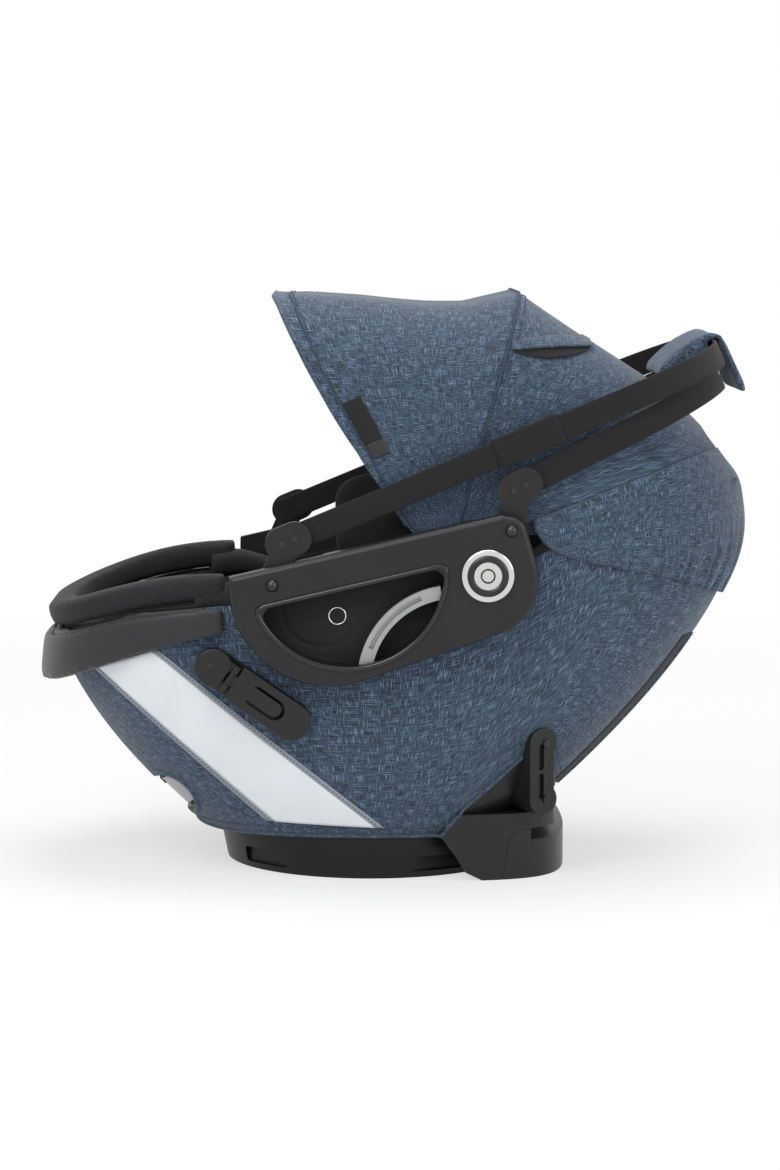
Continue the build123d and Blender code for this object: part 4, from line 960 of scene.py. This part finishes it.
channel = visor_bend(hood_panel("visor_channel", (6, 90), channel_spot, (0.011, 0.72), blue_cloth,
                                1.0 * MM))
# Behind the channel a dark line is laid in the seam's groove: painted shade.
groove_shade_line = edge_line(lambda way: visor_edge(way) + CHANNEL_SEAM, 0.7)
visor_bend(tube("visor_channel_groove_shade", groove_shade_line, 0.9 * MM, thread_and_seam_shade, None))
stitch_line = edge_line(lambda way: visor_edge(way) + STITCH_LEAN, 1.0)
visor_bend(stitches("visor_stitches", stitch_line, None))
# The bow seam's piping is real, and it is drawn in the dark thread colour as the seam's painted shadow.
tube("bow_seam_piping_with_painted_shadow", edge_line(lambda way: BOW_LEAN, 1.0), 1.2 * MM, thread_and_seam_shade, "canopy_mid")
stitches("bow_seam_stitches", edge_line(lambda way: BOW_LEAN + 1.6, 1.2), "canopy_mid")

TAG = ((-47, 459.5), (-30, 466.5), (-2, 414.5), (-18, 407.5))
TAG_END = 0.76          # the share of the tag's length where its lighter end begins


def on_corners(corners, down, aside):
    """A place in side view between four corners, and the middle of its row. Corners go round from upper left."""
    a, b, c, d = [Vector(corner) for corner in corners]
    left, right = a.lerp(d, down), b.lerp(c, down)
    return left.lerp(right, aside), left.lerp(right, 0.5)


def tag_spot(first, last):
    def place(aside, down):
        spot, _ = on_corners(TAG, first + (last - first) * down, aside)
        return on_hood(spot.x, spot.y, 2.2)
    return place


for name, first, last, material in (("visor_tag", 0.0, TAG_END, black_sheet),
                                    ("visor_tag_end", TAG_END, 1.0, soft_grey)):
    tag = visor_bend(hood_panel(name, (6, 16), tag_spot(first, last), (0.018, 0.058), material,
                                0.9 * MM))

VENT_X, VENT_LONG, VENT_Z = 112, 78, 509


def vent_spot(rise, fall, out):
    """A patch under the vent's lip: rise is its height over the lip's edge and fall its depth below."""
    def place(across, down):
        x = VENT_X + VENT_LONG * across
        edge = VENT_Z + 4 * math.sin(math.pi * across) + 2 * across
        depth = fall * math.sin(math.pi * across) ** 0.8
        return on_hood(x, edge + rise - (rise + depth) * down, out(down))
    return place


vent = top_bend(hood_panel("canopy_vent", (28, 6), vent_spot(2, 12, lambda down: 1.0), (0.08, 0.015),
                           black_sheet, 0.6 * MM))
lip_place = vent_spot(9, 3, lambda down: 0.6 + 3.4 * down)
lip = top_bend(hood_panel("canopy_vent_lip", (28, 6), lip_place, (0.08, 0.015), blue_cloth,
                          1.4 * MM))
print("canopy details made")

# %% [markdown]
# Below the rear panel a skirt hooks over the head end of the shell. An elastic in its hem gathers it, so the
# cloth is full of small upright folds near the hem and smooth at the seam above.

# %% Skirt
SKIRT = ((112, 352), (131, 340), (143, 326), (159, 317), (190, 309), (234, 300), (279, 289), (323, 270),
         (420, 262))
SKIRT_TURN = 0.80
SKIRT_TUCK = 0.6        # above this share of its height the skirt leaves the shell for the canopy's seam
SKIRT_LEAN, SKIRT_LEAN_BACK = 67.4, 74.0
SKIRT_CORE_X = 0.1      # the skirt is looked at from here, inside the hood


def seam_spot(below):
    """The canopy's seam over a point of the skirt: the same way round from inside the hood."""
    def spot_at(way):
        return hood_spot(SKIRT_LEAN + (SKIRT_LEAN_BACK - SKIRT_LEAN) * way * 2, way, 2.0)

    def bearing(spot):
        return abs(math.atan2(spot.y, spot.x - SKIRT_CORE_X))

    aim = bearing(below)
    spot = spot_at(halve(0.0, 0.5, 16, lambda way: bearing(spot_at(way)) <= aim))
    return spot if below.y < 0 else Vector((spot.x, -spot.y, spot.z))


def skirt_spot(across, up):
    turn = (across - 0.5) * 2 * SKIRT_TURN
    turn = turn if turn >= 0 else turn + 4
    low = level_of(SKIRT, turn)
    high = max(level_of(RIM, turn) - 2, low + 4)
    lower = min(1, up / SKIRT_TUCK)
    fold = math.sin(across * 190) + 0.6 * math.sin(across * 301 + 1)
    belly = 2.5 * math.sin(math.pi * min(1, lower * 1.1)) + 2.2 * fold * (1 - lower) ** 1.5
    spot = on_shell(turn, low + (high - low) * lower, (3.2 + belly) * MM)
    if up > SKIRT_TUCK:
        share = (up - SKIRT_TUCK) / (1 - SKIRT_TUCK)
        out = (spot - Vector((SKIRT_CORE_X, 0, spot.z))).normalized() * 5 * MM * math.sin(math.pi * share)
        spot = spot.lerp(seam_spot(spot), share) + out
    return spot


skirt = sewn("canopy_skirt_cloth", (220, 24), skirt_spot, (0.72, 0.12), Vector((SKIRT_CORE_X, 0, 0.3)),
             blue_cloth, 1.4 * MM)
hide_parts("canopy_skirt")
print("skirt faces:", len(skirt.data.polygons))

# %% [markdown]
# ## Webbing
# The carry handle is two flat webbing loops. A loop's rounded cross-section is extruded along a leg, spun round
# a corner, extruded across the back, spun again and extruded down the other leg. Its UV runs along the strap,
# so the woven ribs cross it.

# %% Handle loops
LOOP_X, LOOP_CORNER, PLATE_LONG = 318.0, 110.0, 45.0
STRAP_HALF_THICK, STRAP_HALF_WIDE, STRAP_BLUNT = 1.45, 12.4, 0.35
FRONT_PLATE, FRONT_TILT, FRONT_Y = (-99.0, 332.0), 22.5, 188.5
REAR_PLATE, REAR_TILT, REAR_Y = (119.0, 382.0), 26.7, 182.0


def leg_frame(plate, tilt):
    """Takes millimetres along a strap's leg to metres in the seat's frame."""
    turn = Matrix.Rotation(math.radians(-tilt), 4, "Y")
    return Matrix.Translation((plate[0] * MM, 0, plate[1] * MM)) @ turn @ Matrix.Scale(MM, 4)


def loop_strap(name, node, plate, tilt, y_mid, body):
    """A webbing loop from one plate round the back to the other, in place of its CAD node."""
    length = (LOOP_X - plate[0]) / math.cos(math.radians(tilt))
    start = -PLATE_LONG * 0.35
    bm = bmesh.new()
    bmesh.ops.create_circle(bm, cap_ends=True, radius=1, segments=20)
    for vert in bm.verts:
        thick = STRAP_HALF_THICK * blunted(vert.co.x, STRAP_BLUNT)
        wide = STRAP_HALF_WIDE * blunted(vert.co.y, STRAP_BLUNT)
        vert.co = (start, -y_mid + thick, wide)

    def leg(edges, step, count):
        for _ in range(count):
            geometry = bmesh.ops.extrude_edge_only(bm, edges=edges)["geom"]
            bmesh.ops.translate(bm, vec=step, verts=verts_of(geometry))
            edges = edges_of(geometry)
        return edges

    def corner(edges, centre):
        turned = bmesh.ops.spin(bm, geom=edges, cent=centre, axis=(0, 0, 1), angle=math.pi / 2, steps=16)
        return edges_of(turned["geom_last"])

    reach = length - LOOP_CORNER - start
    side = y_mid - LOOP_CORNER
    edges = leg([e for e in bm.edges if e.is_boundary], (reach / 40, 0, 0), 40)
    edges = corner(edges, (length - LOOP_CORNER, -side, 0))
    edges = leg(edges, (0, side / 10, 0), 20)
    edges = corner(edges, (length - LOOP_CORNER, side, 0))
    edges = leg(edges, (-reach / 40, 0, 0), 40)
    bmesh.ops.contextual_create(bm, geom=edges)
    bmesh.ops.recalc_face_normals(bm, faces=bm.faces)

    def strap_uv(spot):
        if spot.x <= length - LOOP_CORNER:
            way = spot.x if spot.y < 0 else 2000 - spot.x
        else:
            way = 700 + spot.y + (spot.x if spot.y < 0 else -spot.x)
        return way * MM, spot.z * MM

    set_uv(bm, strap_uv)
    bmesh.ops.transform(bm, matrix=leg_frame(plate, tilt), verts=bm.verts)
    obj = piece(name, bm, webbing, body)
    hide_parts(node)


loop_strap("front_strap_webbing", "front_strap", FRONT_PLATE, FRONT_TILT, FRONT_Y, "handle_front")
loop_strap("rear_strap_webbing", "rear_strap", REAR_PLATE, REAR_TILT, REAR_Y, "handle_rear")
print("handle loops made")

# %% [markdown]
# A woven sleeve on each leg of the front strap keeps the two straps together. It is a wider copy of the strap's
# section, a little waisted between its hemmed ends.

# %% Strap sleeves
SLEEVE_X, SLEEVE_LONG, SLEEVE_RINGS = 212, 66, 14
SLEEVE_HALF_THICK, SLEEVE_HALF_WIDE, HEM_THICK = 2.6, 14.4, 0.35
sleeves = bmesh.new()
for side in (-1, 1):
    made = bmesh.ops.create_circle(sleeves, cap_ends=False, radius=1, segments=24)["verts"]
    edges = list({edge for vert in made for edge in vert.link_edges})
    rings = [made]
    for _ in range(SLEEVE_RINGS):
        geometry = bmesh.ops.extrude_edge_only(sleeves, edges=edges)["geom"]
        rings.append(verts_of(geometry))
        edges = edges_of(geometry)
    for i, ring in enumerate(rings):
        hem = HEM_THICK if i < 2 or i > SLEEVE_RINGS - 2 else 0.0
        for vert in ring:
            thick = (SLEEVE_HALF_THICK + hem) * blunted(vert.co.x, 0.4)
            wide = (SLEEVE_HALF_WIDE + hem) * blunted(vert.co.y, STRAP_BLUNT)
            vert.co = (SLEEVE_X + SLEEVE_LONG * i / SLEEVE_RINGS, side * FRONT_Y + thick, wide)
set_uv(sleeves, lambda spot: (spot.z * MM, spot.x * MM))
bmesh.ops.recalc_face_normals(sleeves, faces=sleeves.faces)
bmesh.ops.transform(sleeves, matrix=leg_frame(FRONT_PLATE, FRONT_TILT), verts=sleeves.verts)
sleeve = thicken(piece("strap_sleeves", sleeves, webbing, "handle_front"), 0.9 * MM)
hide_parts("strap_keepers")
print("sleeve faces:", len(sleeve.data.polygons))

# %% [markdown]
# The harness lies on the pad. Each strap is a narrow panel dropped straight down onto the CAD strap under it and
# then given its thickness.


# %% Harness straps
STRAP_GAP = 0.4 * MM
HARNESS = {"harness_left": "harness_strap_left", "harness_right": "harness_strap_right",
           "crotch_strap": "crotch_webbing", "adjuster_strap": "adjuster_webbing"}


def flat_strap(name, node, x_low, x_high, y_low, y_high):
    tree = bvh(node)

    def place(across, aside):
        x = x_low + (x_high - x_low) * across
        y = y_low + (y_high - y_low) * aside
        hit = tree.ray_cast(Vector((x, y, 0.6)), Vector((0, 0, -1)))[0]
        return hit if hit is not None else Vector((x, y, 0.3))

    obj = sewn(name, (40, 6), place, (x_high - x_low, y_high - y_low), Vector((x_low, 0, -2)), webbing,
               1.8 * MM)
    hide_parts(node)


for node, name in HARNESS.items():
    low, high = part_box(node)
    flat_strap(name, node, low.x + STRAP_GAP, high.x - STRAP_GAP, low.y + STRAP_GAP, high.y - STRAP_GAP)
print("harness straps:", len(HARNESS))

# %% [markdown]
# ## Bare sewn panel
# A pale vinyl panel is sewn low on the near side of the cover. It is left bare, with a stitched grey border.

# %% Vinyl panel
PANEL_CORNERS = ((-287, 205), (-224, 227), (-8, 52), (-122, 58))


def vinyl_spot(draw_in):
    """Lays out a layer of vinyl, drawn in from its long edges and lifted so that it lies on the layer below."""
    def place(down, aside):
        spot, middle = on_corners(PANEL_CORNERS, down, aside)
        spot = spot + (middle - spot) * draw_in
        return on_near_side(spot.x, spot.y, 1.4 * MM + draw_in * 4 * MM)
    return place


for name, draw_in, material in (("vinyl_border", 0.0, grey_vinyl), ("vinyl_panel", 0.16, pale_vinyl)):
    vinyl = sewn(name, (60, 24), vinyl_spot(draw_in), (0.28, 0.08), Vector((-0.1, 0, 0.15)), material,
                 0.6 * MM)
for aside in (0.04, 0.96):
    line = [vinyl_spot(0.0)(0.01 + 0.98 * i / 80, aside) for i in range(81)]
    stitches("vinyl_stitches_%d" % (aside > 0.5), line, pitch=4 * MM)
print("vinyl panel sewn on")

# %% [markdown]
# ## Studio
# A pale floor and soft lamps at a plain level. The camera stands where the photograph was taken: low, almost
# square to the near side, and far enough back for little perspective.

# %% Floor and world
def greater(tree, one, other):
    return add(tree, "Math", {0: one, 1: other}, operation="MAXIMUM").outputs[0]


floor_mesh = bmesh.new()
bmesh.ops.create_grid(floor_mesh, x_segments=1, y_segments=1, size=12)
floor_material, floor_tree, floor_shader = finish("pale_floor", roughness=0.9)
floor_shader.inputs["Base Color"].default_value = linear("#F1F1F1")
rays = add(floor_tree, "LightPath").outputs
seen = greater(floor_tree, rays["Is Camera Ray"], rays["Is Glossy Ray"])
seen = greater(floor_tree, seen, rays["Is Transmission Ray"])
place = add(floor_tree, "TexCoord").outputs["Object"]
distance = add(floor_tree, "VectorMath", {0: place}, operation="LENGTH").outputs["Value"]
whiten = add(floor_tree, "MapRange", {"Value": distance, "From Min": 0.3, "From Max": 2.2, "To Min": 0.6,
                                      "To Max": 1.0})
share = add(floor_tree, "Math", {0: seen, 1: whiten.outputs[0]}, operation="MULTIPLY")
white = add(floor_tree, "Emission", {"Color": (1, 1, 1, 1), "Strength": 1.0})
blank = add(floor_tree, "MixShader", {0: share.outputs[0], 1: floor_shader.outputs[0], 2: white.outputs[0]})
floor_tree.links.new(blank.outputs[0], floor_tree.nodes["Material Output"].inputs["Surface"])
floor = in_scene("floor", floor_mesh, floor_material)

world = bpy.data.worlds.new("studio")
scene.world = world
world.use_nodes = True
rays = add(world.node_tree, "LightPath").outputs
seen = greater(world.node_tree, rays["Is Camera Ray"], rays["Is Glossy Ray"])
strength = add(world.node_tree, "MapRange", {"Value": seen, "To Min": 0.45, "To Max": 1.0})
back = world.node_tree.nodes["Background"]
back.inputs["Color"].default_value = (1, 1, 1, 1)
world.node_tree.links.new(strength.outputs[0], back.inputs["Strength"])
print("floor and world made")


# %% Lamps and camera
def lamp(name, spot, target, size, power):
    """A round area lamp at a spot, turned to its target."""
    data = bpy.data.lights.new(name, "AREA")
    data.shape = "DISK"
    data.size = size
    data.energy = power
    obj = bpy.data.objects.new(name, data)
    obj.location = spot
    obj.rotation_euler = (Vector(target) - Vector(spot)).to_track_quat("-Z", "Y").to_euler()
    scene.collection.objects.link(obj)


lamp("key", (-1.2, -2.2, 2.4), (0, 0, 0.25), 1.8, 46)
lamp("fill", (2.2, -1.6, 1.4), (0, 0, 0.25), 1.6, 20)
lamp("top", (0.2, 0.3, 2.8), (0, 0, 0.3), 2.0, 40)

AZIMUTH, ELEVATION, DISTANCE, LENS = math.radians(-1.0), math.radians(6.2), 3.32, 102.15
TARGET = Vector((0, 0, 0.2695))
camera = bpy.data.objects.new("camera", bpy.data.cameras.new("camera"))
camera.data.lens = LENS
camera.data.sensor_width = 36
camera.data.sensor_fit = "AUTO"
level = math.cos(ELEVATION)
back_off = Vector((math.sin(AZIMUTH) * level, -math.cos(AZIMUTH) * level, math.sin(ELEVATION)))
camera.location = TARGET + back_off * DISTANCE
camera.rotation_euler = (-back_off).to_track_quat("-Z", "Y").to_euler()
scene.collection.objects.link(camera)
scene.camera = camera
print("camera at", tuple(camera.location))
